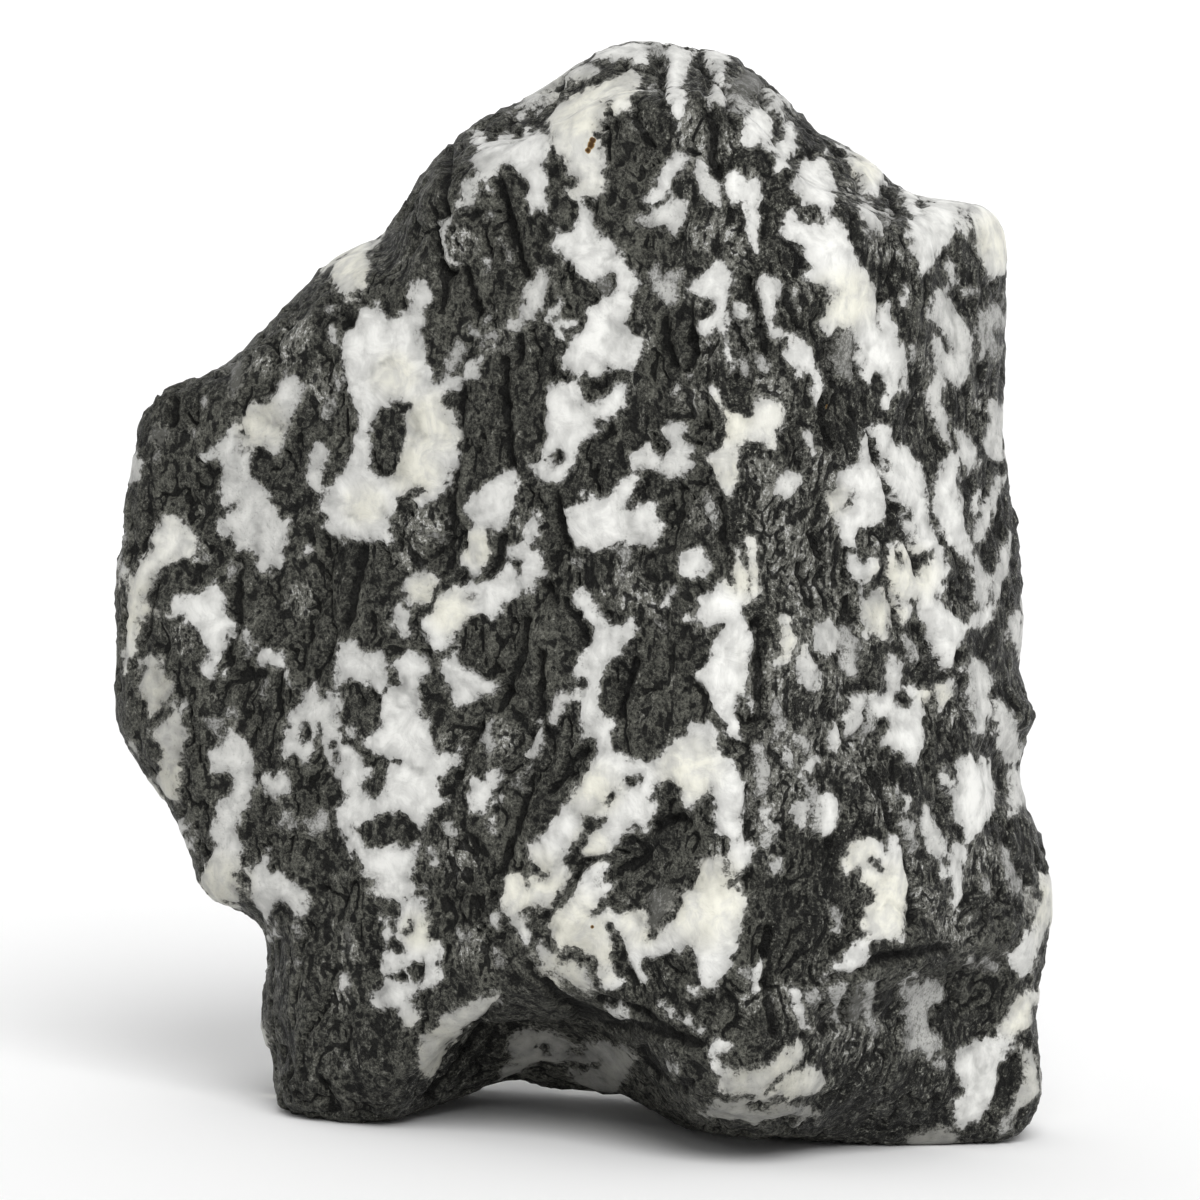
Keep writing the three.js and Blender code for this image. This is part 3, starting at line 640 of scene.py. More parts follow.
class StoneSettings(bpy.types.PropertyGroup):
    """Sizes and colours of the stone's skin."""

    skin_step: length_setting("Skin step", "Spacing of the skin's points, halved in front", 0.53)
    bark_depth: length_setting("Bark depth", "Depth of the furrows along the tourmaline", 0.46)
    swell_height: length_setting("Swell height", "Height of the swells between the furrows", 0.13)
    fibre_depth: length_setting("Fibre depth", "Depth of the tourmaline's fine fibres", 0.09)
    crack_depth: length_setting("Crack depth", "Depth of the drawn cracks", 0.42)
    quartz_stand: length_setting("Quartz stand", "How far the quartz stands proud", 0.04)
    knob_height: length_setting("Knob height", "Height of the quartz's rounded knobs", 0.24)
    raggedness: length_setting("Raggedness", "How far the quartz strays from its outlines", 1.1)
    tourmaline_colour: colour_setting("Tourmaline", "Black tourmaline", (0.035, 0.035, 0.0295))
    # The flecks fade in the hollows as painted shade.
    fleck_colour: colour_setting("Flecks", "Light flecks and worn fibres", (0.34, 0.34, 0.3))
    film_colour: colour_setting("Film", "Thin broken film of quartz", (0.26, 0.258, 0.228))
    quartz_colour: colour_setting("Milky quartz", "White quartz", (0.795, 0.793, 0.765))
    cream_colour: colour_setting("Cream quartz", "Slightly stained quartz", (0.78, 0.765, 0.665))
    stain_colour: colour_setting("Stain", "Thin edges of the rust stains", (0.42, 0.27, 0.1))
    rust_colour: colour_setting("Rust", "Rust stains", (0.055, 0.025, 0.006))


class StageSettings(bpy.types.PropertyGroup):
    """The pale floor and the soft light."""

    floor_colour: colour_setting("Floor", "Floor and backdrop", (0.94, 0.94, 0.94))
    front_strength: strength_setting("Front surround", "Light from above and before the stone", 0.62)
    back_strength: strength_setting("Back surround", "Even light from behind the stone", 0.15)
    key_strength: strength_setting("Key light", "Soft light from above and in front", 1.95)
    key_softness: bpy.props.FloatProperty(
        name="Key softness",
        description="Width of the key light as seen from the stone",
        default=math.radians(36),
        subtype="ANGLE",
    )


# ---------------------------------------------------------------------------------------------
# Noises
# ---------------------------------------------------------------------------------------------
TINY = 1e-9
LATTICE_CELLS = 256
LATTICE_GAIN = 1.5
LAYER_SEED_STEP = 17
KNOB_SHARPNESS = 9.0

# Each noise: the size of its features in millimetres (across, in depth, along the grain), its seed,
# its layers and how strong each layer is beside the last. The front's film is sized in grid steps.
NOISES = {
    "front_film": (60.0, 15, 2, 0.5),
    "grazing_across": (2.4, 19, 3, 0.5),
    "grazing_down": (2.4, 23, 3, 0.5),
    "grazing_breaks": (1.7, 29, 3, 0.5),
    "patches": ((3.3, 3.3, 4.8), 41, 4, 0.55),
    "specks": ((1.1, 1.1, 1.6), 47, 2, 0.5),
    "tone": ((5.0, 5.0, 6.0), 53, 2, 0.5),
    "cream": (6.0, 59, 2, 0.5),
    "film": (3.0, 61, 2, 0.5),
    "furrows": ((2.1, 2.1, 5.5), 104, 3, 0.42),
    "furrow_gaps": ((2.2, 2.2, 4.0), 105, 1, 0.5),
    "swells": ((1.5, 1.5, 3.2), 132, 3, 0.6),
    "fibres": ((0.55, 0.55, 1.9), 133, 2, 0.5),
    "lumps": (1.0, 211, 3, 0.6),
    "glossy_edge": (3.0, 301, 1, 0.5),
}

# Waves that bend a pattern: for each axis, their length, how far they push and their seed. The
# outlines' waves are in grid steps, the others in millimetres.
OUTLINE_WAVES = (((22.0, 2.6, 11), (9.0, 2.0, 12)), ((22.0, 2.6, 13), (9.0, 2.0, 14)))
PATCH_WAVES = (((1.6, 0.66, 31),), ((1.6, 0.66, 32),), ((1.6, 0.96, 33),))
GRAIN_WAVES = (((3.4, 0.6, 71), (1.3, 0.26, 72)), ((3.4, 0.6, 73), (1.3, 0.26, 74)), ((3.4, 0.4, 75),))
FURROW_WAVES = ((((2.4, 2.4, 3.4), 1.05, 102),), ((2.2, 0.84, 103),), ())
KNOB_WAVES = (((0.9, 0.35, 241),), ((0.9, 0.35, 242),), ((0.9, 0.35, 243),))


def ramp(value, low, high):
    """Rises smoothly from 0 at low to 1 at high."""
    t = np.clip((value - low) / (high - low), 0.0, 1.0)
    return t * t * (3.0 - 2.0 * t)


def lattice_pick(shuffle, cell):
    """A shuffled number for each cell of the lattice."""
    pick = np.zeros(len(cell), dtype=np.int64)
    for axis in range(3):
        pick = shuffle[(pick + cell[:, axis]) % LATTICE_CELLS]
    return pick


def lattice_noise(points, seed):
    """Gradient noise on a unit lattice, about -1 to 1, the same for the same seed."""
    rng = np.random.default_rng(seed)
    shuffle = rng.permutation(LATTICE_CELLS)
    arrows = rng.normal(size=(LATTICE_CELLS, 3))
    arrows /= np.linalg.norm(arrows, axis=1)[:, None]
    cell = np.floor(points).astype(np.int64)
    inside = points - cell
    fade = inside ** 3 * (inside * (inside * 6.0 - 15.0) + 10.0)
    total = np.zeros(len(points))
    for corner in np.ndindex(2, 2, 2):
        corner = np.array(corner)
        arrow = arrows[lattice_pick(shuffle, cell + corner)]
        share = np.where(corner, fade, 1.0 - fade).prod(axis=1)
        total += share * ((inside - corner) * arrow).sum(axis=1)
    return total * LATTICE_GAIN


def layered_noise(name, points, seed_shift=0):
    """A noise of the table: layers of lattice noise, each twice as fine as the last."""
    size, seed, layers, gain = NOISES[name]
    places = points / np.array(size)
    total = np.zeros(len(points))
    for layer in range(layers):
        layer_seed = seed + seed_shift + LAYER_SEED_STEP * layer
        total += gain ** layer * lattice_noise(places * 2.0 ** layer, layer_seed)
    return total


def drift(points, axes, seed_shift=0):
    """How far a set of waves pushes each point along each axis."""
    pushed = np.zeros((len(points), len(axes)))
    for axis, waves in enumerate(axes):
        for size, push, seed in waves:
            pushed[:, axis] += push * lattice_noise(points / np.array(size), seed + seed_shift)
    return pushed


def knobbly(points, seed):
    """Rounded knobs packed side by side, 1 on a knob's top and 0 in the creases between them."""
    rng = np.random.default_rng(seed)
    shuffle = rng.permutation(LATTICE_CELLS)
    middles = rng.random((LATTICE_CELLS, 3))
    cell = np.floor(points).astype(np.int64)
    inside = points - cell
    total = np.zeros(len(points))
    for corner in np.ndindex(3, 3, 3):
        corner = np.array(corner) - 1
        middle = corner + middles[lattice_pick(shuffle, cell + corner)]
        total += np.exp(-KNOB_SHARPNESS * ((middle - inside) ** 2).sum(axis=1))
    return 1.0 + np.log(np.maximum(total, TINY)) / KNOB_SHARPNESS


# ---------------------------------------------------------------------------------------------
# The front view and its drawing grid
# ---------------------------------------------------------------------------------------------
class FrontView:
    """Where the front is seen from: it places points on the drawing grid and sets the camera."""

    def __init__(self):
        """Turns the view with the stone's lean and centres the solid on the grid."""
        lean = Matrix.Rotation(-STONE_LEAN, 3, "Y")
        axes = np.array(lean @ Matrix.Rotation(-EYE_ELEVATION, 3, "X"))
        self.right = axes[:, 0]
        self.ahead = axes[:, 1]
        self.up = axes[:, 2]
        self.eye = np.array(lean @ Vector((0.0, 0.0, AIM_HEIGHT))) - self.ahead * EYE_DISTANCE
        self.shift = np.zeros(2)
        drawn = self.on_grid(mesh_points(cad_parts[STONE_NODE].data) / MM)
        self.shift = np.array(STONE_CENTRE_ON_GRID) - (drawn.min(axis=0) + drawn.max(axis=0)) / 2.0

    def on_grid(self, points):
        """Places points, in millimetres, on the drawing grid."""
        away = points - self.eye
        scale = GRID_PER_MM * EYE_DISTANCE / (away @ self.ahead)
        u = GRID_SIDE / 2.0 + (away @ self.right) * scale
        v = GRID_SIDE / 2.0 - (away @ self.up) * scale
        return np.stack([u, v], axis=1) + self.shift

    def facing(self, points, normals):
        """How squarely each point faces the eye: 1 head on, 0 edge on, negative behind."""
        back = self.eye - points
        back /= np.linalg.norm(back, axis=1)[:, None]
        return (back * normals).sum(axis=1)


# ---------------------------------------------------------------------------------------------
# Outlines, strokes and spots on the drawing grid
# ---------------------------------------------------------------------------------------------
OUTSIDE = -24.0
CURVE_STEPS = 3
SPOT_EDGE = (0.35, 1.15)


def smooth_outline(outline):
    """Corners along a smooth closed curve through the outline's points."""
    here = np.array(outline, dtype=float)
    before, after, beyond = (np.roll(here, shift, axis=0) for shift in (1, -1, -2))
    slope = 0.5 * (after - before)
    bend = 0.5 * (2.0 * before - 5.0 * here + 4.0 * after - beyond)
    twist = 0.5 * (3.0 * here - before - 3.0 * after + beyond)
    shares = np.arange(CURVE_STEPS) / CURVE_STEPS
    curve = [here + share * (slope + share * (bend + share * twist)) for share in shares]
    return np.stack(curve, axis=1).reshape(-1, 2)


def near_box(places, corners, reach):
    """Which places lie within reach of the corners' box."""
    low = corners.min(axis=0) - reach
    high = corners.max(axis=0) + reach
    return np.all((places > low) & (places < high), axis=1)


def from_line(spots, start, end):
    """How far along a line each spot lies, from 0 to 1, and how far away from it."""
    run = end - start
    along = np.clip((spots - start) @ run / max(run @ run, TINY), 0.0, 1.0)
    return along, np.linalg.norm(spots - start - along[:, None] * run, axis=1)


def outline_depth(places, outline):
    """Depth inside a closed outline, in grid steps, negative outside and never under OUTSIDE."""
    corners = smooth_outline(outline)
    near = near_box(places, corners, -OUTSIDE)
    spots = places[near]
    nearest = np.full(len(spots), -OUTSIDE)
    inside = np.zeros(len(spots), dtype=bool)
    for start, end in zip(corners, np.roll(corners, -1, axis=0)):
        nearest = np.minimum(nearest, from_line(spots, start, end)[1])
        crossing = (start[1] > spots[:, 1]) != (end[1] > spots[:, 1])
        if crossing.any():
            down = (spots[:, 1] - start[1]) / (end[1] - start[1])
            inside ^= crossing & (spots[:, 0] < start[0] + down * (end[0] - start[0]))
    depth = np.full(len(places), OUTSIDE)
    depth[near] = np.where(inside, nearest, -nearest)
    return depth


def stroke_depth(places, stroke):
    """Depth inside a stroke of (u, v, half width) points, in grid steps, never under OUTSIDE."""
    corners = np.array(stroke, dtype=float)
    near = near_box(places, corners[:, :2], corners[:, 2].max() - OUTSIDE)
    spots = places[near]
    best = np.full(len(spots), OUTSIDE)
    for start, end in zip(corners[:-1], corners[1:]):
        along, gap = from_line(spots, start[:2], end[:2])
        best = np.maximum(best, start[2] + along * (end[2] - start[2]) - gap)
    depth = np.full(len(places), OUTSIDE)
    depth[near] = best
    return depth


def round_spot(places, spot, edge):
    """1 in the middle of a soft round spot (u, v, radius), 0 outside it."""
    u, v, radius = spot
    away = np.hypot(places[:, 0] - u, places[:, 1] - v)
    return 1.0 - ramp(away, edge[0] * radius, edge[1] * radius)


def spot_strength(places, spots):
    """0 to 1 over a set of soft round spots."""
    strength = np.zeros(len(places))
    for spot in spots:
        strength = np.maximum(strength, round_spot(places, spot, SPOT_EDGE))
    return strength


# ---------------------------------------------------------------------------------------------
# Patterns
# ---------------------------------------------------------------------------------------------
# How far the drawn patches grow past their outlines on the left and on the right, in grid steps.
PATCH_GROWTH = (0.2, 1.4)
GROWTH_SLOPE = (640.0, 760.0)
# Painted shade: the left half's quartz is darker: its share of the light, and where the shade ends.
LEFT_SHADED_SHARE = 0.86
SHADED_TO_LIT = (480.0, 680.0)
# How far the tones of neighbouring patches run into each other, in grid steps.
TONE_BLEND = 3.0
TONE_DEEPEST = 6.0
TONE_LEAST = 1e-6
PATCH_CREAM = 0.7
SPOT_CREAM = 0.75
FRONT_FILM = 0.3
FRONT_FILM_EDGE = (-0.1, 0.5)
# The sides and the back: the quartz's share, depths in millimetres per unit of noise, and tones.
QUARTZ_SHARE = 0.37
PATCH_DEPTH = 1.9
SPECK_DEPTH = 0.9
SPECK_LEVEL = 0.62
DEEPEST = 1.3
WILD_LIGHT = (0.9, 0.25)
WILD_CREAM = (0.1, 0.6)
WILD_CREAM_EDGE = (-0.05, 0.5)
WILD_THROUGH = 0.12
WILD_THROUGH_EDGE = (0.1, -0.4)
WILD_FILM_EDGE = (0.12, 0.5)
# Where the drawn front hands over to the sides, and how it breaks up where it is seen edge on.
FRONT_FACING = (0.0, 0.08)
FRONT_RINGS = 4
GRAZING_FACING = (0.1, 0.5)
GRAZING_SHIFT = 9.0
GRAZING_BREAKS = 0.5


def crack_strength(spots):
    """1 along the middle of the drawn cracks, 0 beside them."""
    strength = np.zeros(len(spots))
    for lines, half_width in ((CRACKS, CRACK_HALF_WIDTH), (BROAD_CRACKS, BROAD_CRACK_HALF_WIDTH)):
        for line in lines:
            inside = stroke_depth(spots, [(u, v, half_width) for u, v in line])
            strength = np.maximum(strength, ramp(inside, -CRACK_SLOPE, 0.5 * half_width))
    return strength


def front_pattern(places):
    """The markings of the front: depth in quartz (mm), lightness, cream, show-through, film, cracks."""
    flat = np.column_stack([places, np.zeros(len(places))])
    spots = places + drift(flat, OUTLINE_WAVES)
    drawn = [(tone, outline_depth(spots, outline)) for tone, outline in FRONT_PATCHES]
    drawn += [(tone, stroke_depth(spots, stroke)) for tone, stroke in VEINS]
    depth = np.full(len(places), OUTSIDE)
    tones = np.zeros((3, len(places)))
    weights = np.full(len(places), TONE_LEAST)
    for tone, inside in drawn:
        depth = np.maximum(depth, inside)
        weight = np.exp(np.clip(inside, OUTSIDE, TONE_DEEPEST) / TONE_BLEND)
        tones += weight * np.array(TONES[tone])[:, None]
        weights += weight
    light, cream, through = tones / weights
    grown = ramp(places[:, 0], *GROWTH_SLOPE)
    depth += PATCH_GROWTH[0] * (1.0 - grown) + PATCH_GROWTH[1] * grown
    for island in ISLANDS:
        depth = np.minimum(depth, -outline_depth(spots, island))
    for slit in SLITS:
        depth = np.minimum(depth, -stroke_depth(spots, slit))
    patchy_film = FRONT_FILM * ramp(layered_noise("front_film", flat), *FRONT_FILM_EDGE)
    return {
        "depth": depth / GRID_PER_MM,
        # The quartz's lightness carries painted shade over the left half.
        "light": light * (LEFT_SHADED_SHARE + (1.0 - LEFT_SHADED_SHARE) * ramp(places[:, 0], *SHADED_TO_LIT)),
        "cream": np.maximum(cream * PATCH_CREAM, spot_strength(places, CREAM_SPOTS) * SPOT_CREAM),
        "through": through,
        "film": np.maximum(spot_strength(places, FILM_SPOTS), patchy_film),
        "crack": crack_strength(spots),
    }


def wild_pattern(points):
    """The same markings for the other sides, from noise: upright ragged patches."""
    patches = layered_noise("patches", points + drift(points, PATCH_WAVES))
    depth = (patches - np.quantile(patches, 1.0 - QUARTZ_SHARE)) * PATCH_DEPTH
    depth = np.maximum(depth, (layered_noise("specks", points) - SPECK_LEVEL) * SPECK_DEPTH)
    tone = layered_noise("tone", points)
    cream = ramp(layered_noise("cream", points), *WILD_CREAM_EDGE)
    return {
        "depth": np.clip(depth, OUTSIDE / GRID_PER_MM, DEEPEST),
        "light": WILD_LIGHT[0] + WILD_LIGHT[1] * tone,
        "cream": WILD_CREAM[0] + WILD_CREAM[1] * cream,
        "through": WILD_THROUGH * ramp(tone, *WILD_THROUGH_EDGE),
        "film": ramp(layered_noise("film", points), *WILD_FILM_EDGE),
        "crack": np.zeros(len(points)),
    }


def front_share(mesh, facing):
    """1 where the drawn front holds, 0 behind, with the edge some rings of points wide."""
    share = ramp(facing, *FRONT_FACING)
    for _ in range(FRONT_RINGS):
        share = neighbour_max(mesh, share)
    for _ in range(FRONT_RINGS):
        share = neighbour_mean(mesh, share[:, None])[:, 0]
    return share


def stone_pattern(mesh, view, points, normals):
    """The markings over the whole stone: drawn where the front is seen, from noise elsewhere."""
    places = view.on_grid(points)
    facing = view.facing(points, normals)
    share = front_share(mesh, facing)
    grazing = 1.0 - ramp(facing, *GRAZING_FACING)
    shift = np.stack([layered_noise(name, points) for name in ("grazing_across", "grazing_down")], axis=1)
    front = front_pattern(places + GRAZING_SHIFT * grazing[:, None] * shift)
    front["depth"] += GRAZING_BREAKS * grazing * layered_noise("grazing_breaks", points)
    wild = wild_pattern(points)
    pattern = {name: share * front[name] + (1.0 - share) * wild[name] for name in front}
    level = np.maximum(spot_strength(places, FLOWING_GRAIN), spot_strength(places, LEVEL_GRAIN))
    pattern["upright"] = 1.0 - share * level
    pattern["front"] = share
    pattern["bump"] = share * spot_strength(places, BUMPS)
    pattern["knob"] = quartz_knobs(points)
    return pattern


# ---------------------------------------------------------------------------------------------
# Relief
# ---------------------------------------------------------------------------------------------
FURROW_LEANS = (math.radians(-7), math.radians(9))
FURROW_SEED_STEP = 10
# A furrow is a narrow cut in a wide dip: the share of each, and how far each spreads in the noise.
CUT_SHARE = 0.75
CUT_SPREAD = 0.13
DIP_SPREAD = 0.4
FURROW_GAP_EDGE = (-0.15, 0.3)
# The relief's shares on the fibrous side, on the level grain and on the quartz.
FURROWS_LOST_ON_FIBRES = 0.4
FURROWS_LEFT_ON_LEVEL = 0.45
LUMP_SHARE = 0.8
FIBRE_SHARE = (0.5, 0.8)
QUARTZ_SLOPE = (-0.1, 0.3)
KNOB_MIDDLE = 0.65
BUMP_HEIGHT = 0.32
# The quartz's knobs: their size in millimetres, share and seed.
KNOBS = ((2.0, 0.75, 223), (0.9, 0.25, 229))
TWIST_EDGE = (0.3, 1.3)


def turned(points, lean):
    """Points turned about the depth axis, so that grain leaning by `lean` runs along z."""
    c = np.cos(lean)
    s = np.sin(lean)
    x = points[:, 0] * c - points[:, 2] * s
    z = points[:, 0] * s + points[:, 2] * c
    return np.stack([x, points[:, 1], z], axis=1)


def twisted(points, places, spots, angle):
    """Points turned about the depth axis round each spot's centre, most at the centre."""
    for spot in spots:
        across = (spot[0] - STONE_CENTRE_ON_GRID[0]) / GRID_PER_MM
        height = (GROUND_ON_GRID - spot[1]) / GRID_PER_MM
        middle = np.array((across, 0.0, height))
        points = middle + turned(points - middle, angle * round_spot(places, spot, TWIST_EDGE))
    return points


def grain_places(points, places, share):
    """Where each point lies along and across the grain: z runs along it, and it waves."""
    bent = twisted(points, places, LEANING_GRAIN, LEAN_OF_LEANING)
    bent = twisted(bent, places, FLOWING_GRAIN, LEAN_OF_FLOWING)
    bent = twisted(bent, places, LEVEL_GRAIN, LEAN_OF_LEVEL)
    return points + (bent - points) * share[:, None] + drift(points, GRAIN_WAVES)


def furrow_relief(grain):
    """Wavy broken furrows along z, 0 on the ridges and -1 at their bottoms."""
    deepest = np.zeros(len(grain))
    for step, lean in enumerate(FURROW_LEANS):
        own = turned(grain, lean)
        seed_shift = FURROW_SEED_STEP * step
        wave = np.abs(layered_noise("furrows", own + drift(own, FURROW_WAVES, seed_shift), seed_shift))
        cut = 1.0 - ramp(wave, 0.0, CUT_SPREAD)
        dip = 1.0 - ramp(wave, 0.0, DIP_SPREAD)
        kept = ramp(layered_noise("furrow_gaps", own, seed_shift), *FURROW_GAP_EDGE)
        deepest = np.minimum(deepest, -(CUT_SHARE * cut + (1.0 - CUT_SHARE) * dip) * kept)
    return deepest


def quartz_knobs(points):
    """The quartz's rounded knobs, about 1 on their tops and 0.3 in the creases between them."""
    shoved = points + drift(points, KNOB_WAVES)
    return sum(share * knobbly(shoved / size, seed) for size, share, seed in KNOBS)


def stone_relief(points, grain, pattern, settings, fibrous):
    """How far each point moves out along its normal, in millimetres."""
    upright = FURROWS_LEFT_ON_LEVEL + (1.0 - FURROWS_LEFT_ON_LEVEL) * pattern["upright"]
    rough = furrow_relief(grain) * settings.bark_depth * (1.0 - FURROWS_LOST_ON_FIBRES * fibrous) * upright
    swells = layered_noise("swells", grain) + LUMP_SHARE * layered_noise("lumps", points)
    rough += swells * settings.swell_height
    fibres = layered_noise("fibres", grain) * (FIBRE_SHARE[0] + FIBRE_SHARE[1] * fibrous)
    rough += fibres * settings.fibre_depth
    rough -= pattern["crack"] * settings.crack_depth
    smooth = settings.quartz_stand + settings.knob_height * (pattern["knob"] - KNOB_MIDDLE)
    quartz = ramp(pattern["depth"], *QUARTZ_SLOPE)
    return (rough * (1.0 - quartz) + smooth * quartz) / MM + BUMP_HEIGHT * pattern["bump"]


# ---------------------------------------------------------------------------------------------
# The skin
# ---------------------------------------------------------------------------------------------
MERGE_DISTANCE = 0.001
SOFTENING_ROUNDS = 7
LAST_SOFTENING_ROUNDS = 2
SOFTEN = 0.5
FINE_FACING = 0.02
CHART_GAP = 0.02
FRONT_CHART_SCALE = 1.5
SPOT_REACH = 8.0
# The fibrous, glossier side begins right of a leaning line on the grid, and faces the front or right.
GLOSSY_SLOPE = 0.16
GLOSSY_EDGE = (622.0, 664.0)
GLOSSY_WAVER = 14.0
FRONTWARD = (-0.1, 0.2)
RIGHTWARD = (0.25, 0.6)
# Painted shade: the hollows are darkened in the colour, and so is the left foot.
HOLLOW_GAIN = 24.0
PAINTED_SHADE_FOOT = (335.0, 1030.0)
PAINTED_SHADE_FOOT_REACH = (110.0, 120.0)
PAINTED_SHADE_FOOT_DEPTH = 0.3


def vertex_values(mesh, field):
    """One of the mesh's vectors for each point, as an array."""
    flat = np.empty(len(mesh.vertices) * 3)
    mesh.vertices.foreach_get(field, flat)
    return flat.reshape(-1, 3)


def mesh_points(mesh):
    """The mesh's points as an array."""
    return vertex_values(mesh, "co")


def mesh_normals(mesh):
    """The mesh's point normals as an array."""
    return vertex_values(mesh, "normal")


def set_points(mesh, points):
    """Puts the points back into the mesh."""
    mesh.vertices.foreach_set("co", points.ravel())
    mesh.update()


def edge_ends(mesh):
    """The two points of each edge of the mesh."""
    ends = np.empty(len(mesh.edges) * 2, dtype=np.int64)
    mesh.edges.foreach_get("vertices", ends)
    return ends.reshape(-1, 2)


def neighbour_mean(mesh, values):
    """The mean of each point's neighbours' values."""
    ends = edge_ends(mesh)
    count = np.bincount(ends.ravel(), minlength=len(mesh.vertices))
    sums = np.stack([
        np.bincount(ends[:, 0], weights=column[ends[:, 1]], minlength=len(count))
        + np.bincount(ends[:, 1], weights=column[ends[:, 0]], minlength=len(count))
        for column in values.T
    ], axis=1)
    return sums / np.maximum(count, 1)[:, None]


def neighbour_max(mesh, values):
    """The greatest of each point's own and its neighbours' values."""
    ends = edge_ends(mesh)
    greatest = values.copy()
    np.maximum.at(greatest, ends[:, 0], values[ends[:, 1]])
    np.maximum.at(greatest, ends[:, 1], values[ends[:, 0]])
    return greatest


def soften(mesh, rounds):
    """Rounds off the facets."""
    points = mesh_points(mesh)
    for _ in range(rounds):
        points += SOFTEN * (neighbour_mean(mesh, points) - points)
    set_points(mesh, points)


def settle(mesh, solid):
    """Moves each point of the mesh to the nearest place on the solid's skin."""
    faces = [tuple(face.vertices) for face in solid.polygons]
    skin = BVHTree.FromPolygons(mesh_points(solid).tolist(), faces)
    set_points(mesh, np.array([tuple(skin.find_nearest(point)[0]) for point in mesh_points(mesh)]))


def closed_copy(node):
    """A copy of the solid's mesh, in millimetres, with its shared points merged."""
    mesh = node.data.copy()
    mesh.transform(Matrix.Scale(1.0 / MM, 4))
    shape = bmesh.new()
    shape.from_mesh(mesh)
    bmesh.ops.remove_doubles(shape, verts=shape.verts, dist=MERGE_DISTANCE)
    shape.to_mesh(mesh)
    shape.free()
    mesh.materials.clear()
    return mesh


def remeshed(mesh, step):
    """The same form as even squares of the given step, settled on the first form's skin."""
    carrier = bpy.data.objects.new("skin_carrier", mesh)
    bpy.context.scene.collection.objects.link(carrier)
    modifier = carrier.modifiers.new("even_squares", "REMESH")
    modifier.mode = "VOXEL"
    modifier.voxel_size = step
    modifier.adaptivity = 0.0
    bpy.context.view_layer.update()
    made = bpy.data.meshes.new_from_object(carrier.evaluated_get(bpy.context.evaluated_depsgraph_get()))
    settle(made, mesh)
    bpy.data.objects.remove(carrier)
    bpy.data.meshes.remove(mesh)
    return made


def refine_front(mesh, view):
    """Halves the squares that are seen from the front, and cuts everything into triangles."""
    shape = bmesh.new()
    shape.from_mesh(mesh)
    shape.normal_update()
    centres = np.array([face.calc_center_median() for face in shape.faces])
    normals = np.array([face.normal for face in shape.faces])
    seen = view.facing(centres, normals) > FINE_FACING
    fine_faces = [face for face, fine in zip(shape.faces, seen) if fine]
    edges = list(dict.fromkeys(edge for face in fine_faces for edge in face.edges))
    bmesh.ops.subdivide_edges(shape, edges=edges, cuts=1, use_grid_fill=True)
    bmesh.ops.triangulate(shape, faces=shape.faces)
    shape.to_mesh(mesh)
    shape.free()
    mesh.update()


def write_attribute(mesh, name, values):
    """Stores one number for each point, for the material to read."""
    attribute = mesh.attributes.new(name, "FLOAT", "POINT")
    attribute.data.foreach_set("value", np.ascontiguousarray(values, dtype=np.float32))


def unwrap(mesh, points, normals):
    """Lays the skin out flat in six charts, one for each way a face can look, the front one largest."""
    corners = np.empty(len(mesh.loops), dtype=np.int64)
    mesh.loops.foreach_get("vertex_index", corners)
    facing = normals[corners.reshape(-1, 3)].mean(axis=1)
    axis = np.abs(facing).argmax(axis=1)
    positive = facing[np.arange(len(facing)), axis] > 0.0
    chart_of_corner = np.repeat(axis * 2 + positive, 3)
    low = points.min(axis=0)
    wide, deep, tall = points.max(axis=0) - low
    gap = CHART_GAP * wide
    front_wide = FRONT_CHART_SCALE * wide + gap
    front_tall = FRONT_CHART_SCALE * tall + gap
    side_wide = deep + gap
    # Each chart: its left and bottom edge, its scale and the two axes it is seen along.
    charts = {
        2: (0.0, 0.0, FRONT_CHART_SCALE, (0, 2)),
        3: (front_wide, 0.0, 1.0, (0, 2)),
        5: (front_wide, tall + gap, 1.0, (0, 1)),
        0: (0.0, front_tall, 1.0, (1, 2)),
        1: (side_wide, front_tall, 1.0, (1, 2)),
        4: (2.0 * side_wide, front_tall, 1.0, (0, 1)),
    }
    sheet = max(front_wide + wide, front_tall + tall, 2.0 * side_wide + wide)
    flat = np.zeros((len(corners), 2))
    relative = points[corners] - low
    for number, (left, bottom, scale, axes) in charts.items():
        mine = chart_of_corner == number
        flat[mine] = relative[mine][:, axes] * scale + (left, bottom)
    layer = mesh.uv_layers.new(name="OFBake")
    layer.data.foreach_set("uv", (flat / sheet).ravel())


def front_point(view, points, places, spot):
    """The point of the skin seen at a spot of the drawing grid."""
    near = np.flatnonzero(np.hypot(*(places - np.array(spot)).T) < SPOT_REACH)
    away = (points[near] - view.eye) @ view.ahead
    nearest = near[away.argmin()]
    step = (np.array(spot) - places[nearest]) / GRID_PER_MM
    return tuple(points[nearest] + step[0] * view.right - step[1] * view.up)


def fibrous_share(points, normals, places, upright):
    """1 on the fibrous side of the stone, 0 on the bark-like rest."""
    edge = places[:, 0] - GLOSSY_SLOPE * places[:, 1] + GLOSSY_WAVER * layered_noise("glossy_edge", points)
    in_front = ramp(edge, *GLOSSY_EDGE) * ramp(-normals[:, 1], *FRONTWARD)
    return np.maximum(in_front, ramp(normals[:, 0], *RIGHTWARD)) * upright


def hollow_share(mesh, points, places):
    """Painted shade of each point: up to 1 deep in the hollows and round the left foot, down to -1 on a
    ridge.
    """
    hollow = ((neighbour_mean(mesh, points) - points) * mesh_normals(mesh)).sum(axis=1)
    wide_hollow = neighbour_mean(mesh, neighbour_mean(mesh, hollow[:, None]))[:, 0]
    foot = np.exp(-(((places - np.array(PAINTED_SHADE_FOOT)) / np.array(PAINTED_SHADE_FOOT_REACH)) ** 2).sum(axis=1))
    return np.clip((hollow + wide_hollow) * HOLLOW_GAIN + PAINTED_SHADE_FOOT_DEPTH * foot, -1.0, 1.0)


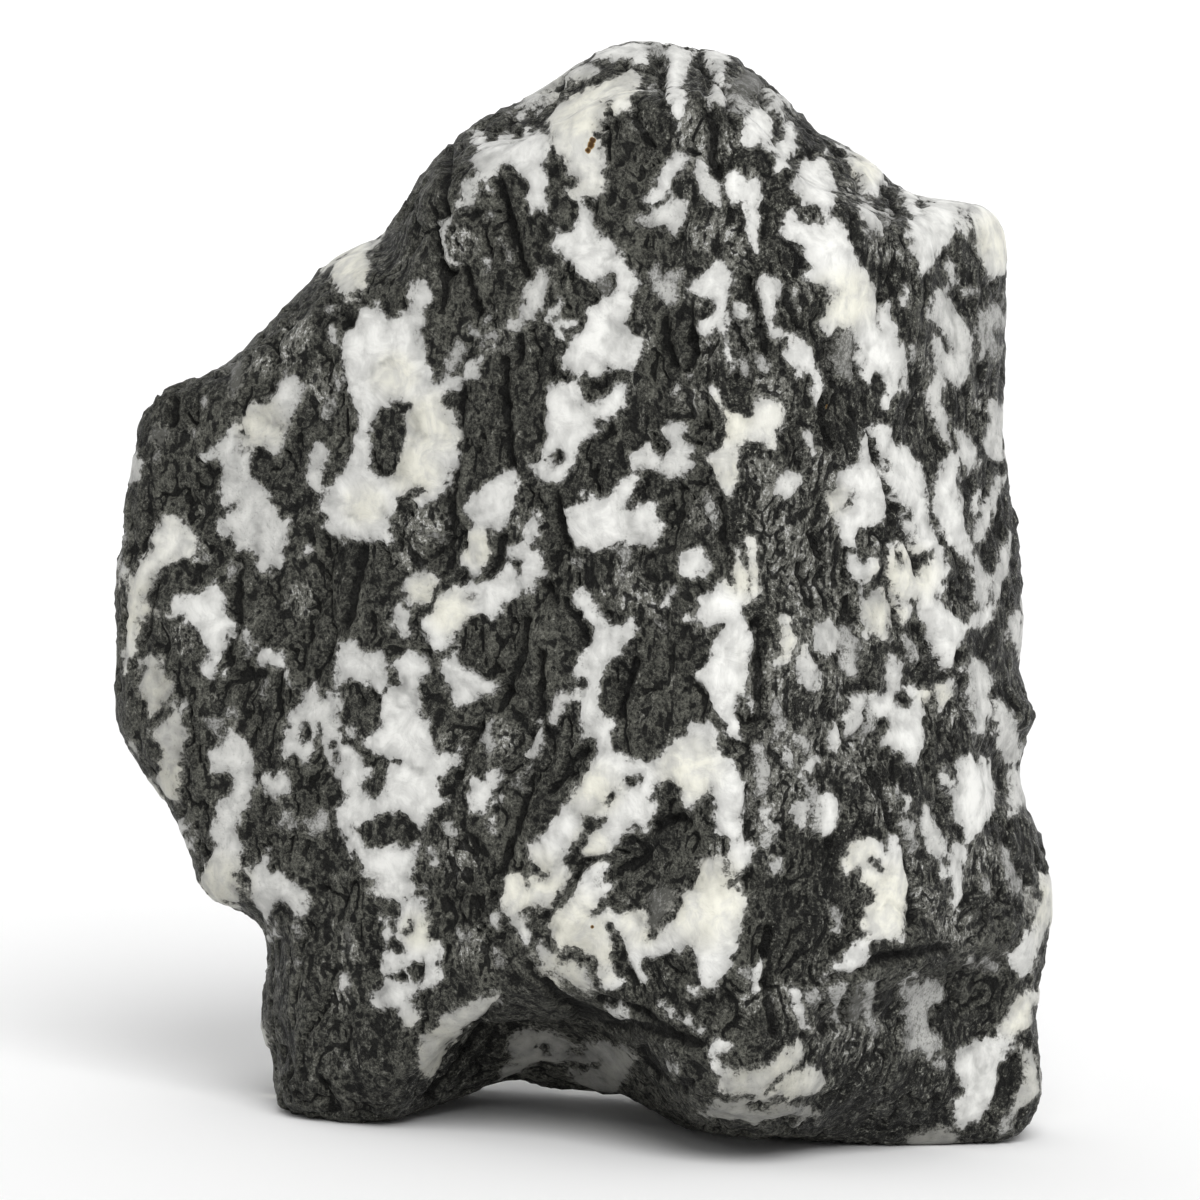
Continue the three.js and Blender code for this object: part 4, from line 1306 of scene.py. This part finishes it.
def build_skin(settings):
    """The fine mesh of the stone and its rust stains, each a middle and a radius in millimetres."""
    mesh = remeshed(closed_copy(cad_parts[STONE_NODE]), settings.skin_step / MM)
    soften(mesh, SOFTENING_ROUNDS)
    view = FrontView()
    refine_front(mesh, view)
    soften(mesh, LAST_SOFTENING_ROUNDS)
    base = mesh_points(mesh)
    normals = mesh_normals(mesh)
    pattern = stone_pattern(mesh, view, base, normals)
    places = view.on_grid(base)
    grain = grain_places(base, places, pattern["front"])
    pattern["fibrous"] = fibrous_share(base, normals, places, pattern["upright"])
    out = stone_relief(base, grain, pattern, settings, pattern["fibrous"])
    points = base + normals * out[:, None]
    points[:, 2] = np.maximum(points[:, 2], 0.0)
    set_points(mesh, points)
    pattern["hollow"] = hollow_share(mesh, points, places)
    unwrap(mesh, base, normals)
    for name in ("depth", "light", "cream", "through", "film", "crack", "knob", "fibrous", "hollow"):
        write_attribute(mesh, name, pattern[name])
    along = mesh.attributes.new("grain", "FLOAT_VECTOR", "POINT")
    along.data.foreach_set("vector", grain.astype(np.float32).ravel())
    stains = [(front_point(view, points, places, (u, v)), radius) for u, v, radius in RUST_SPOTS]
    mesh.transform(Matrix.Scale(MM, 4))
    mesh.polygons.foreach_set("use_smooth", np.ones(len(mesh.polygons), dtype=bool))
    mesh.update()
    return mesh, stains


# ---------------------------------------------------------------------------------------------
# Shader groups
# ---------------------------------------------------------------------------------------------
VECTOR = "NodeSocketVector"
FLOAT = "NodeSocketFloat"

# Each shader noise: its features per millimetre, detail, roughness and distortion.
SHADER_NOISES = {
    "speckle": (6.5, 2.0, 0.8, 0.0),
    "streak": (3.6, 2.0, 0.72, 0.3),
    "mottle": (2.3, 2.0, 0.65, 0.0),
    "bands": (0.6, 2.0, 0.6, 0.0),
    "clusters": (0.5, 1.0, 0.55, 0.0),
    "clouds": (0.75, 4.0, 0.62, 0.5),
    "quartz_streaks": (1.9, 3.0, 0.6, 0.0),
    "border": (1.5, 2.5, 0.58, 0.0),
    "broken_film": (1.9, 5.0, 0.78, 0.0),
}

# Each shader ramp: the value where it starts and ends, then what it gives there.
SHADER_RAMPS = {
    "fleck_clusters": (0.4, 0.58, 0.25, 1.0),
    "quartz_edge": (-0.05, 0.12, 0.0, 1.0),
    "rim_starts": (-0.2, 0.0, 0.0, 1.0),
    "rim_ends": (0.05, 0.3, 1.0, 0.0),
    "rim_on_grain": (0.42, 0.6, 0.1, 0.75),
    "rust_edge": (0.75, 1.2, 1.0, 0.0),
    "rust_covers": (0.0, 0.4, 0.0, 1.0),
    "film_gaps": (0.47, 0.41, 0.0, 1.0),
    # Painted shade: the flecks fade in the hollows, and the tourmaline darkens there.
    "flecks_faded_by_painted_shade": (0.15, -0.45, 0.35, 1.0),
    "dark_in_hollows": (0.02, 0.45, 0.0, 0.9),
    "cream_in_clouds": (0.35, 0.6, 0.5, 1.2),
    "light_in_clouds": (0.36, 0.6, 0.78, 1.0),
    "light_in_streaks": (0.36, 0.55, 0.93, 1.0),
    # Painted shade on the quartz, in the creases between its knobs and in the hollows.
    "painted_shade_in_knob_creases": (0.75, 0.35, 1.0, 0.76),
    "light_in_hollows": (0.0, 0.8, 1.0, 0.75),
    "light_inside_edge": (0.0, 0.95, 0.77, 1.06),
    "thin_at_edge": (0.0, 0.4, 0.4, 0.0),
    "dull_grain": (0.4, 0.62, 0.62, 0.48),
    "glossy_grain": (0.4, 0.62, 0.5, 0.3),
    "quartz_gloss": (0.35, 0.65, 0.5, 0.38),
}

# Where a threshold lies at a share of 0 and of 1, and how far above it the change is done.
FLECKS_BY_FIBRES = (0.585, 0.55, 0.09)
GREY_BY_FILM = (0.56, 0.42, 0.14)
SPECKS_BY_FILM = (0.62, 0.525, 0.05)
DARK_THROUGH_QUARTZ = (0.34, 0.5, 0.12)

# How much longer each pattern is along the grain, as a scale.
GRAIN_ALONG = (1.0, 1.0, 0.36)
STREAKS_ALONG = (1.0, 1.0, 0.25)
FILM_ALONG = (1.0, 1.0, 0.5)
STREAK_SHARE = (0.45, 0.62)
SPECKLE_SHARE = 0.5
BAND_SHARE = 0.22
GRAIN_IN_BORDER = 0.2
BORDER_MIDDLE = 0.575
RUST_MIDDLE = 0.5
GREY_FROM_GRAIN = 0.3
SPECKS_FROM_GRAIN = 0.6
GAP_STRENGTH = 0.8


class Wiring:
    """A few short cuts for placing and joining nodes in one tree."""

    def __init__(self, tree):
        """Keeps the tree that the nodes go into."""
        self.tree = tree

    def node(self, kind, **fields):
        """A new node with its fields set."""
        made = self.tree.nodes.new(kind)
        for name, value in fields.items():
            setattr(made, name, value)
        return made

    def feed(self, socket, source):
        """Sets a socket to a number or colour, or joins another socket to it."""
        if isinstance(source, bpy.types.NodeSocket):
            self.tree.links.new(source, socket)
        else:
            socket.default_value = source

    def feed_all(self, sockets, sources):
        """Feeds the sockets of the given names or numbers."""
        for name, source in sources.items():
            self.feed(sockets[name], source)

    def group(self, tree, sources):
        """Places a shader group with its inputs, and gives its outputs."""
        made = self.node("ShaderNodeGroup")
        made.node_tree = tree
        self.feed_all(made.inputs, sources)
        return made.outputs

    def maths(self, operation, first, second):
        """One sum of two numbers."""
        made = self.node("ShaderNodeMath", operation=operation)
        self.feed_all(made.inputs, {0: first, 1: second})
        return made.outputs[0]

    def product(self, first, *others):
        """Numbers multiplied together."""
        for other in others:
            first = self.maths("MULTIPLY", first, other)
        return first

    def attribute(self, name, output="Fac"):
        """A value that the mesh stores for each point."""
        return self.node("ShaderNodeAttribute", attribute_name=name).outputs[output]

    def noise(self, name, vector):
        """A noise of the table."""
        made = self.node("ShaderNodeTexNoise")
        scale, detail, roughness, distortion = SHADER_NOISES[name]
        self.feed_all(made.inputs, {
            "Vector": vector, "Scale": scale, "Detail": detail,
            "Roughness": roughness, "Distortion": distortion,
        })
        return made.outputs["Fac"]

    def stretch(self, vector, scale):
        """A place scaled along each axis."""
        made = self.node("ShaderNodeMapping", vector_type="POINT")
        self.feed_all(made.inputs, {"Vector": vector, "Scale": scale})
        return made.outputs[0]

    def rise(self, value, low, high, start=0.0, end=1.0):
        """A smooth change from start, where the value is low, to end, where it is high."""
        made = self.node("ShaderNodeMapRange", interpolation_type="SMOOTHSTEP", clamp=True)
        self.feed_all(made.inputs, {
            "Value": value, "From Min": low, "From Max": high, "To Min": start, "To Max": end,
        })
        return made.outputs[0]

    def ramp(self, name, value):
        """A ramp of the table."""
        return self.rise(value, *SHADER_RAMPS[name])

    def threshold(self, value, share, levels, start=0.0, end=1.0):
        """A sharp change at a level that moves with a share."""
        low = self.blend(share, levels[0], levels[1])
        return self.rise(value, low, self.maths("ADD", low, levels[2]), start, end)

    def mix(self, share, first, second, blend="MIX"):
        """Two colours mixed."""
        made = self.node("ShaderNodeMix", data_type="RGBA", blend_type=blend, clamp_factor=True)
        self.feed_all(made.inputs, {0: share, 6: first, 7: second})
        return made.outputs[2]

    def blend(self, share, first, second):
        """Two numbers mixed."""
        made = self.node("ShaderNodeMix", data_type="FLOAT", clamp_factor=True)
        self.feed_all(made.inputs, {0: share, 2: first, 3: second})
        return made.outputs[0]


def new_group(name, inputs, outputs):
    """An empty shader group with the given named sockets: its wiring, inputs and outputs."""
    tree = bpy.data.node_groups.new(name, "ShaderNodeTree")
    for label, kind in inputs.items():
        tree.interface.new_socket(label, in_out="INPUT", socket_type=kind)
    for label in outputs:
        tree.interface.new_socket(label, in_out="OUTPUT", socket_type=FLOAT)
    wires = Wiring(tree)
    return wires, wires.node("NodeGroupInput").outputs, wires.node("NodeGroupOutput").inputs


def grain_group():
    """Fine tourmaline grain: how light it is, how high it stands and where its flecks are."""
    wires, given, out = new_group(
        "Tourmaline grain",
        {"Place": VECTOR, "Grain place": VECTOR, "Fibrous": FLOAT},
        ("Lightness", "Height", "Flecks"),
    )
    upright = wires.stretch(given["Grain place"], GRAIN_ALONG)
    speckle = wires.noise("speckle", given["Place"])
    streak = wires.noise("streak", upright)
    mottle = wires.noise("mottle", given["Place"])
    coarse = wires.blend(wires.blend(given["Fibrous"], *STREAK_SHARE), mottle, streak)
    fine = wires.blend(SPECKLE_SHARE, coarse, speckle)
    flecks = wires.threshold(fine, given["Fibrous"], FLECKS_BY_FIBRES)
    clusters = wires.ramp("fleck_clusters", wires.noise("clusters", given["Place"]))
    wires.feed_all(out, {
        "Lightness": wires.blend(BAND_SHARE, fine, wires.noise("bands", upright)),
        "Height": fine,
        "Flecks": wires.product(flecks, clusters),
    })
    return wires.tree


def quartz_group():
    """Milky quartz: soft clouds and faint streaks along the grain."""
    wires, given, out = new_group(
        "Milky quartz", {"Place": VECTOR, "Grain place": VECTOR}, ("Clouds", "Streaks")
    )
    upright = wires.stretch(given["Grain place"], STREAKS_ALONG)
    wires.feed_all(out, {
        "Clouds": wires.noise("clouds", given["Place"]),
        "Streaks": wires.noise("quartz_streaks", upright),
    })
    return wires.tree


def border_group():
    """The ragged border of the quartz, from the depth inside it in millimetres."""
    wires, given, out = new_group(
        "Ragged border",
        {"Place": VECTOR, "Depth": FLOAT, "Grain height": FLOAT, "Raggedness": FLOAT},
        ("Quartz", "Rim", "Ragged depth"),
    )
    grain = wires.product(given["Grain height"], GRAIN_IN_BORDER)
    both = wires.maths("ADD", wires.noise("border", given["Place"]), grain)
    shift = wires.product(wires.maths("SUBTRACT", both, BORDER_MIDDLE), given["Raggedness"])
    depth = wires.maths("ADD", given["Depth"], shift)
    wires.feed_all(out, {
        "Quartz": wires.ramp("quartz_edge", depth),
        "Rim": wires.product(wires.ramp("rim_starts", depth), wires.ramp("rim_ends", depth)),
        "Ragged depth": depth,
    })
    return wires.tree


def rust_group():
    """A rust stain round one place: 1 in its middle, with a ragged edge."""
    wires, given, out = new_group(
        "Rust stain", {"Place": VECTOR, "Middle": VECTOR, "Radius": FLOAT, "Ragged": FLOAT}, ("Rust",)
    )
    away = wires.node("ShaderNodeVectorMath", operation="DISTANCE")
    wires.feed_all(away.inputs, {0: given["Place"], 1: given["Middle"]})
    share = wires.maths("DIVIDE", away.outputs["Value"], given["Radius"])
    share = wires.maths("ADD", share, wires.maths("SUBTRACT", given["Ragged"], RUST_MIDDLE))
    wires.feed(out["Rust"], wires.ramp("rust_edge", share))
    return wires.tree


def film_group():
    """Broken grey flecks of quartz lying over the tourmaline, with dark gaps between them."""
    wires, given, out = new_group(
        "Quartz film",
        {"Grain place": VECTOR, "Grain height": FLOAT, "Amount": FLOAT},
        ("Grey", "Specks", "Gaps"),
    )
    amount = given["Amount"]
    broken = wires.noise("broken_film", wires.stretch(given["Grain place"], FILM_ALONG))
    coarse = wires.blend(GREY_FROM_GRAIN, broken, given["Grain height"])
    fine = wires.blend(SPECKS_FROM_GRAIN, broken, given["Grain height"])
    wires.feed_all(out, {
        "Grey": wires.threshold(coarse, amount, GREY_BY_FILM),
        "Specks": wires.threshold(fine, amount, SPECKS_BY_FILM),
        "Gaps": wires.product(wires.ramp("film_gaps", fine), amount, GAP_STRENGTH),
    })
    return wires.tree


# ---------------------------------------------------------------------------------------------
# The stone's material
# ---------------------------------------------------------------------------------------------
STONE_IOR = 1.56
STONE_SHINE = 0.16
BUMP_DISTANCE = 0.4 * MM
QUARTZ_CLOUD_HEIGHT = 0.35
QUARTZ_BASE_HEIGHT = 0.75
# Shares of the tourmaline's colour: its darkest grain, its lightest, and the darkest painted shade of the
# deepest hollows and cracks, which the film's dark gaps also take.
DARK_GRAIN = 0.2
LIGHT_GRAIN = 4.4
PAINTED_SHADE_AND_GAPS = 0.05
SHADE_LOW = (0.38, 0.425)
SHADE_HIGH = 0.66
SHADE_CURVE = 1.4
FLECKS_ON_FIBRES = (0.5, 1.0)
GREY_FILM = 0.72
SPECK_FILM = 0.9
SPECK_TONE = 0.66
# How far the cracks are darkened, as painted shade in them.
CRACK_PAINTED_SHADE = 0.85
THROUGH_TONE = 0.3
THROUGH_CURVE = 0.5


def tinted(colour, share=1.0):
    """A share of a colour, with its alpha."""
    return (share * colour[0], share * colour[1], share * colour[2], 1.0)


def tourmaline_colour(wires, settings, grain, film, fibrous, hollow):
    """Painted shade dark in the furrows, hollows and cracks; the grain lighter on the fibres, with flecks
    and a broken film of quartz.
    """
    body = settings.tourmaline_colour
    shade = wires.rise(grain["Lightness"], wires.blend(fibrous, *SHADE_LOW), SHADE_HIGH)
    shade = wires.maths("POWER", shade, SHADE_CURVE)
    colour = wires.mix(shade, tinted(body, DARK_GRAIN), tinted(body, LIGHT_GRAIN))
    # Painted shade: the light flecks fade in the hollows.
    shown = wires.product(wires.ramp("flecks_faded_by_painted_shade", hollow), wires.blend(fibrous, *FLECKS_ON_FIBRES))
    colour = wires.mix(wires.product(grain["Flecks"], shown), colour, tinted(settings.fleck_colour))
    colour = wires.mix(wires.product(film["Grey"], GREY_FILM), colour, tinted(settings.film_colour))
    speck_colour = tinted(settings.quartz_colour, SPECK_TONE)
    colour = wires.mix(wires.product(film["Specks"], SPECK_FILM), colour, speck_colour)
    # Painted shade: the hollows and the left foot darken towards the deepest colour, which the film's gaps
    # share.
    deep = wires.ramp("dark_in_hollows", hollow)
    # Painted shade in the drawn cracks.
    deep = wires.maths("MAXIMUM", deep, wires.product(wires.attribute("crack"), CRACK_PAINTED_SHADE))
    deep = wires.maths("MAXIMUM", deep, film["Gaps"])
    return wires.mix(deep, colour, tinted(body, PAINTED_SHADE_AND_GAPS))


def quartz_colour(wires, settings, grain, quartz, border, hollow):
    """White to cream, dimmed by the stored lightness and by painted shade in the hollows and in the
    creases between the knobs, with the dark showing through where it is thin.
    """
    clouds = quartz["Clouds"]
    depth = border["Ragged depth"]
    cream = wires.product(wires.attribute("cream"), wires.ramp("cream_in_clouds", clouds))
    colour = wires.mix(cream, tinted(settings.quartz_colour), tinted(settings.cream_colour))
    # The lightness holds painted shade: darker in the creases between the knobs and in the hollows.
    light = wires.product(
        wires.attribute("light"),
        wires.ramp("light_in_clouds", clouds),
        wires.ramp("light_in_streaks", quartz["Streaks"]),
        wires.ramp("painted_shade_in_knob_creases", wires.attribute("knob")),
        wires.ramp("light_in_hollows", hollow),
        wires.ramp("light_inside_edge", depth),
    )
    grey = wires.node("ShaderNodeCombineColor")
    wires.feed_all(grey.inputs, {channel: light for channel in range(3)})
    colour = wires.mix(1.0, colour, grey.outputs[0], blend="MULTIPLY")
    show = wires.maths("ADD", wires.attribute("through"), wires.ramp("thin_at_edge", depth))
    mottled = wires.threshold(grain["Height"], show, DARK_THROUGH_QUARTZ, 1.0, 0.0)
    through = wires.product(wires.maths("POWER", show, THROUGH_CURVE), mottled)
    return wires.mix(through, colour, tinted(settings.film_colour, THROUGH_TONE))


def rusted(wires, settings, colour, place, ragged, stains):
    """The colour with its rust stains, from their middles and radii."""
    tree = rust_group()
    rust = 0.0
    for middle, radius in stains:
        stain = wires.group(tree, {"Place": place, "Middle": middle, "Radius": radius, "Ragged": ragged})
        rust = wires.maths("MAXIMUM", stain["Rust"], rust)
    stained = wires.mix(rust, tinted(settings.stain_colour), tinted(settings.rust_colour))
    return wires.mix(wires.ramp("rust_covers", rust), colour, stained)


def stone_material(settings, stains):
    """Black tourmaline and milky quartz in one material, parted by the stored depth."""
    material = bpy.data.materials.new("tourmaline_and_quartz")
    material.use_nodes = True
    wires = Wiring(material.node_tree)
    shader = material.node_tree.nodes["Principled BSDF"]
    object_place = wires.node("ShaderNodeTexCoord").outputs["Object"]
    place = wires.stretch(object_place, (1.0 / MM, 1.0 / MM, 1.0 / MM))
    along = wires.attribute("grain", "Vector")
    fibrous = wires.attribute("fibrous")
    hollow = wires.attribute("hollow")
    places = {"Place": place, "Grain place": along}
    grain = wires.group(grain_group(), {**places, "Fibrous": fibrous})
    quartz = wires.group(quartz_group(), places)
    border = wires.group(border_group(), {
        "Place": place,
        "Depth": wires.attribute("depth"),
        "Grain height": grain["Height"],
        "Raggedness": settings.raggedness / MM,
    })
    film = wires.group(film_group(), {
        "Grain place": along, "Grain height": grain["Height"], "Amount": wires.attribute("film"),
    })

    tourmaline = tourmaline_colour(wires, settings, grain, film, fibrous, hollow)
    rim = wires.product(border["Rim"], wires.ramp("rim_on_grain", grain["Height"]))
    tourmaline = wires.mix(rim, tourmaline, tinted(settings.film_colour))
    milky = quartz_colour(wires, settings, grain, quartz, border, hollow)
    colour = wires.mix(border["Quartz"], tourmaline, milky)
    colour = rusted(wires, settings, colour, place, grain["Height"], stains)

    grain_gloss = [wires.ramp(name, grain["Lightness"]) for name in ("dull_grain", "glossy_grain")]
    quartz_gloss = wires.ramp("quartz_gloss", quartz["Clouds"])
    clouds = wires.product(quartz["Clouds"], QUARTZ_CLOUD_HEIGHT)
    quartz_height = wires.maths("ADD", clouds, QUARTZ_BASE_HEIGHT)
    bump = wires.node("ShaderNodeBump")
    wires.feed_all(bump.inputs, {
        "Strength": 1.0,
        "Distance": BUMP_DISTANCE,
        "Height": wires.blend(border["Quartz"], grain["Height"], quartz_height),
    })
    wires.feed_all(shader.inputs, {
        "Base Color": colour,
        "Roughness": wires.blend(border["Quartz"], wires.blend(fibrous, *grain_gloss), quartz_gloss),
        "IOR": STONE_IOR,
        "Specular IOR Level": STONE_SHINE,
        "Normal": bump.outputs[0],
    })
    return material


# ---------------------------------------------------------------------------------------------
# The stage
# ---------------------------------------------------------------------------------------------
FLOOR_WIDTH = 4.0
FLOOR_FRONT = -1.2
FLOOR_BACK = 0.7
FLOOR_ROUGHNESS = 0.9
FLOOR_SHINE = 0.1
BACKDROP_RADIUS = 0.5
BACKDROP_HEIGHT = 1.6
BACKDROP_STEPS = 16
KEY_FROM = (0.14, -0.8, 0.75)
BRIGHT_SKY = (0.0, -0.6, 0.8)
SKY_EDGE = (-0.3, 0.55)
WHITE = (1.0, 1.0, 1.0, 1.0)
CAMERA_REACH = (0.01, 20.0)


def placed(context, name, data):
    """A new object in the scene."""
    made = bpy.data.objects.new(name, data)
    context.scene.collection.objects.link(made)
    return made


def sweep_mesh():
    """A floor that curves up into a backdrop."""
    profile = [(FLOOR_FRONT, 0.0), (FLOOR_BACK, 0.0)]
    for step in range(1, BACKDROP_STEPS + 1):
        angle = math.pi / 2.0 * step / BACKDROP_STEPS
        rise = BACKDROP_RADIUS * (1.0 - math.cos(angle))
        profile.append((FLOOR_BACK + BACKDROP_RADIUS * math.sin(angle), rise))
    profile.append((FLOOR_BACK + BACKDROP_RADIUS, BACKDROP_HEIGHT))
    points = [(side * FLOOR_WIDTH / 2.0, y, z) for y, z in profile for side in (-1.0, 1.0)]
    faces = [(2 * row, 2 * row + 1, 2 * row + 3, 2 * row + 2) for row in range(len(profile) - 1)]
    mesh = bpy.data.meshes.new("pale_floor")
    mesh.from_pydata(points, [], faces)
    mesh.polygons.foreach_set("use_smooth", [True] * len(faces))
    return mesh


def add_floor(context, settings):
    """The floor and backdrop, in one matt pale colour."""
    material = bpy.data.materials.new("pale_floor")
    material.use_nodes = True
    shader = material.node_tree.nodes["Principled BSDF"]
    shader.inputs["Base Color"].default_value = tinted(settings.floor_colour)
    shader.inputs["Roughness"].default_value = FLOOR_ROUGHNESS
    shader.inputs["Specular IOR Level"].default_value = FLOOR_SHINE
    mesh = sweep_mesh()
    mesh.materials.append(material)
    floor = placed(context, "pale_floor", mesh)


def add_key_light(context, settings):
    """One soft light from far off, so that the stone and the floor are lit alike."""
    lamp = bpy.data.lights.new("key_light", "SUN")
    lamp.energy = settings.key_strength
    lamp.angle = settings.key_softness
    light = placed(context, "key_light", lamp)
    light.rotation_mode = "QUATERNION"
    light.rotation_quaternion = Vector(KEY_FROM).to_track_quat("Z", "Y")


def add_surround(context, settings):
    """A pale surround, brightest above and before the stone."""
    world = bpy.data.worlds.new("soft_surround")
    world.use_nodes = True
    wires = Wiring(world.node_tree)
    reach = wires.node("ShaderNodeVectorMath", operation="DOT_PRODUCT")
    way = wires.node("ShaderNodeTexCoord").outputs["Generated"]
    wires.feed_all(reach.inputs, {0: way, 1: BRIGHT_SKY})
    strengths = (settings.back_strength, settings.front_strength)
    strength = wires.rise(reach.outputs["Value"], *SKY_EDGE, *strengths)
    background = world.node_tree.nodes["Background"]
    wires.feed_all(background.inputs, {"Color": WHITE, "Strength": strength})
    context.scene.world = world


def add_camera(context):
    """The camera at the front view."""
    view = FrontView()
    lens = bpy.data.cameras.new("front_view")
    lens.sensor_width = SENSOR
    lens.lens = SENSOR * EYE_DISTANCE * GRID_PER_MM / GRID_SIDE
    lens.shift_x = -view.shift[0] / GRID_SIDE
    lens.shift_y = view.shift[1] / GRID_SIDE
    lens.clip_start, lens.clip_end = CAMERA_REACH
    camera = placed(context, "front_view", lens)
    axes = Matrix((view.right, view.up, -view.ahead)).transposed()
    camera.matrix_world = Matrix.Translation(view.eye * MM) @ axes.to_4x4()
    context.scene.camera = camera


# ---------------------------------------------------------------------------------------------
# Operators and panel
# ---------------------------------------------------------------------------------------------
class TOURMALINE_OT_stone(bpy.types.Operator):
    """Makes the stone's skin over its solid"""

    bl_idname = "tourmaline.stone"
    bl_label = "Rough Stone"

    def execute(self, context):
        """Builds the skin and its material and hands them to the frame."""
        settings = context.scene.tourmaline_stone
        mesh, stains = build_skin(settings)
        mesh.name = "rough_stone"
        mesh.materials.append(stone_material(settings, stains))
        stone = placed(context, "rough_stone", mesh)
        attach(stone, "root")
        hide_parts(STONE_NODE)
        return {"FINISHED"}


class TOURMALINE_OT_stage(bpy.types.Operator):
    """Makes the pale floor, the soft lights and the camera"""

    bl_idname = "tourmaline.stage"
    bl_label = "Stage"

    def execute(self, context):
        """Builds the floor, the light, the surround and the camera."""
        settings = context.scene.tourmaline_stage
        add_floor(context, settings)
        add_key_light(context, settings)
        add_surround(context, settings)
        add_camera(context)
        context.scene.view_settings.view_transform = "Standard"
        return {"FINISHED"}


class TOURMALINE_PT_panel(bpy.types.Panel):
    """The stone and its stage"""

    bl_idname = "TOURMALINE_PT_panel"
    bl_label = "Rough Tourmaline"
    bl_space_type = "VIEW_3D"
    bl_region_type = "UI"
    bl_category = "Tourmaline"

    def draw(self, context):
        """Lists each operator with its settings."""
        for operator, settings in (
            (TOURMALINE_OT_stone, context.scene.tourmaline_stone),
            (TOURMALINE_OT_stage, context.scene.tourmaline_stage),
        ):
            box = self.layout.box()
            box.operator(operator.bl_idname)
            for name in settings.bl_rna.properties.keys():
                if name not in {"rna_type", "name"}:
                    box.prop(settings, name)


CLASSES = (StoneSettings, StageSettings, TOURMALINE_OT_stone, TOURMALINE_OT_stage, TOURMALINE_PT_panel)


def register():
    """Adds the classes and the scene's settings."""
    for each in CLASSES:
        bpy.utils.register_class(each)
    bpy.types.Scene.tourmaline_stone = bpy.props.PointerProperty(type=StoneSettings)
    bpy.types.Scene.tourmaline_stage = bpy.props.PointerProperty(type=StageSettings)


def unregister():
    """Takes the settings and the classes away again."""
    del bpy.types.Scene.tourmaline_stage
    del bpy.types.Scene.tourmaline_stone
    for each in reversed(CLASSES):
        bpy.utils.unregister_class(each)


def main():
    """Builds the stage and the stone."""
    register()
    bpy.ops.tourmaline.stage()
    bpy.ops.tourmaline.stone()


if __name__ == "__main__":
    main()
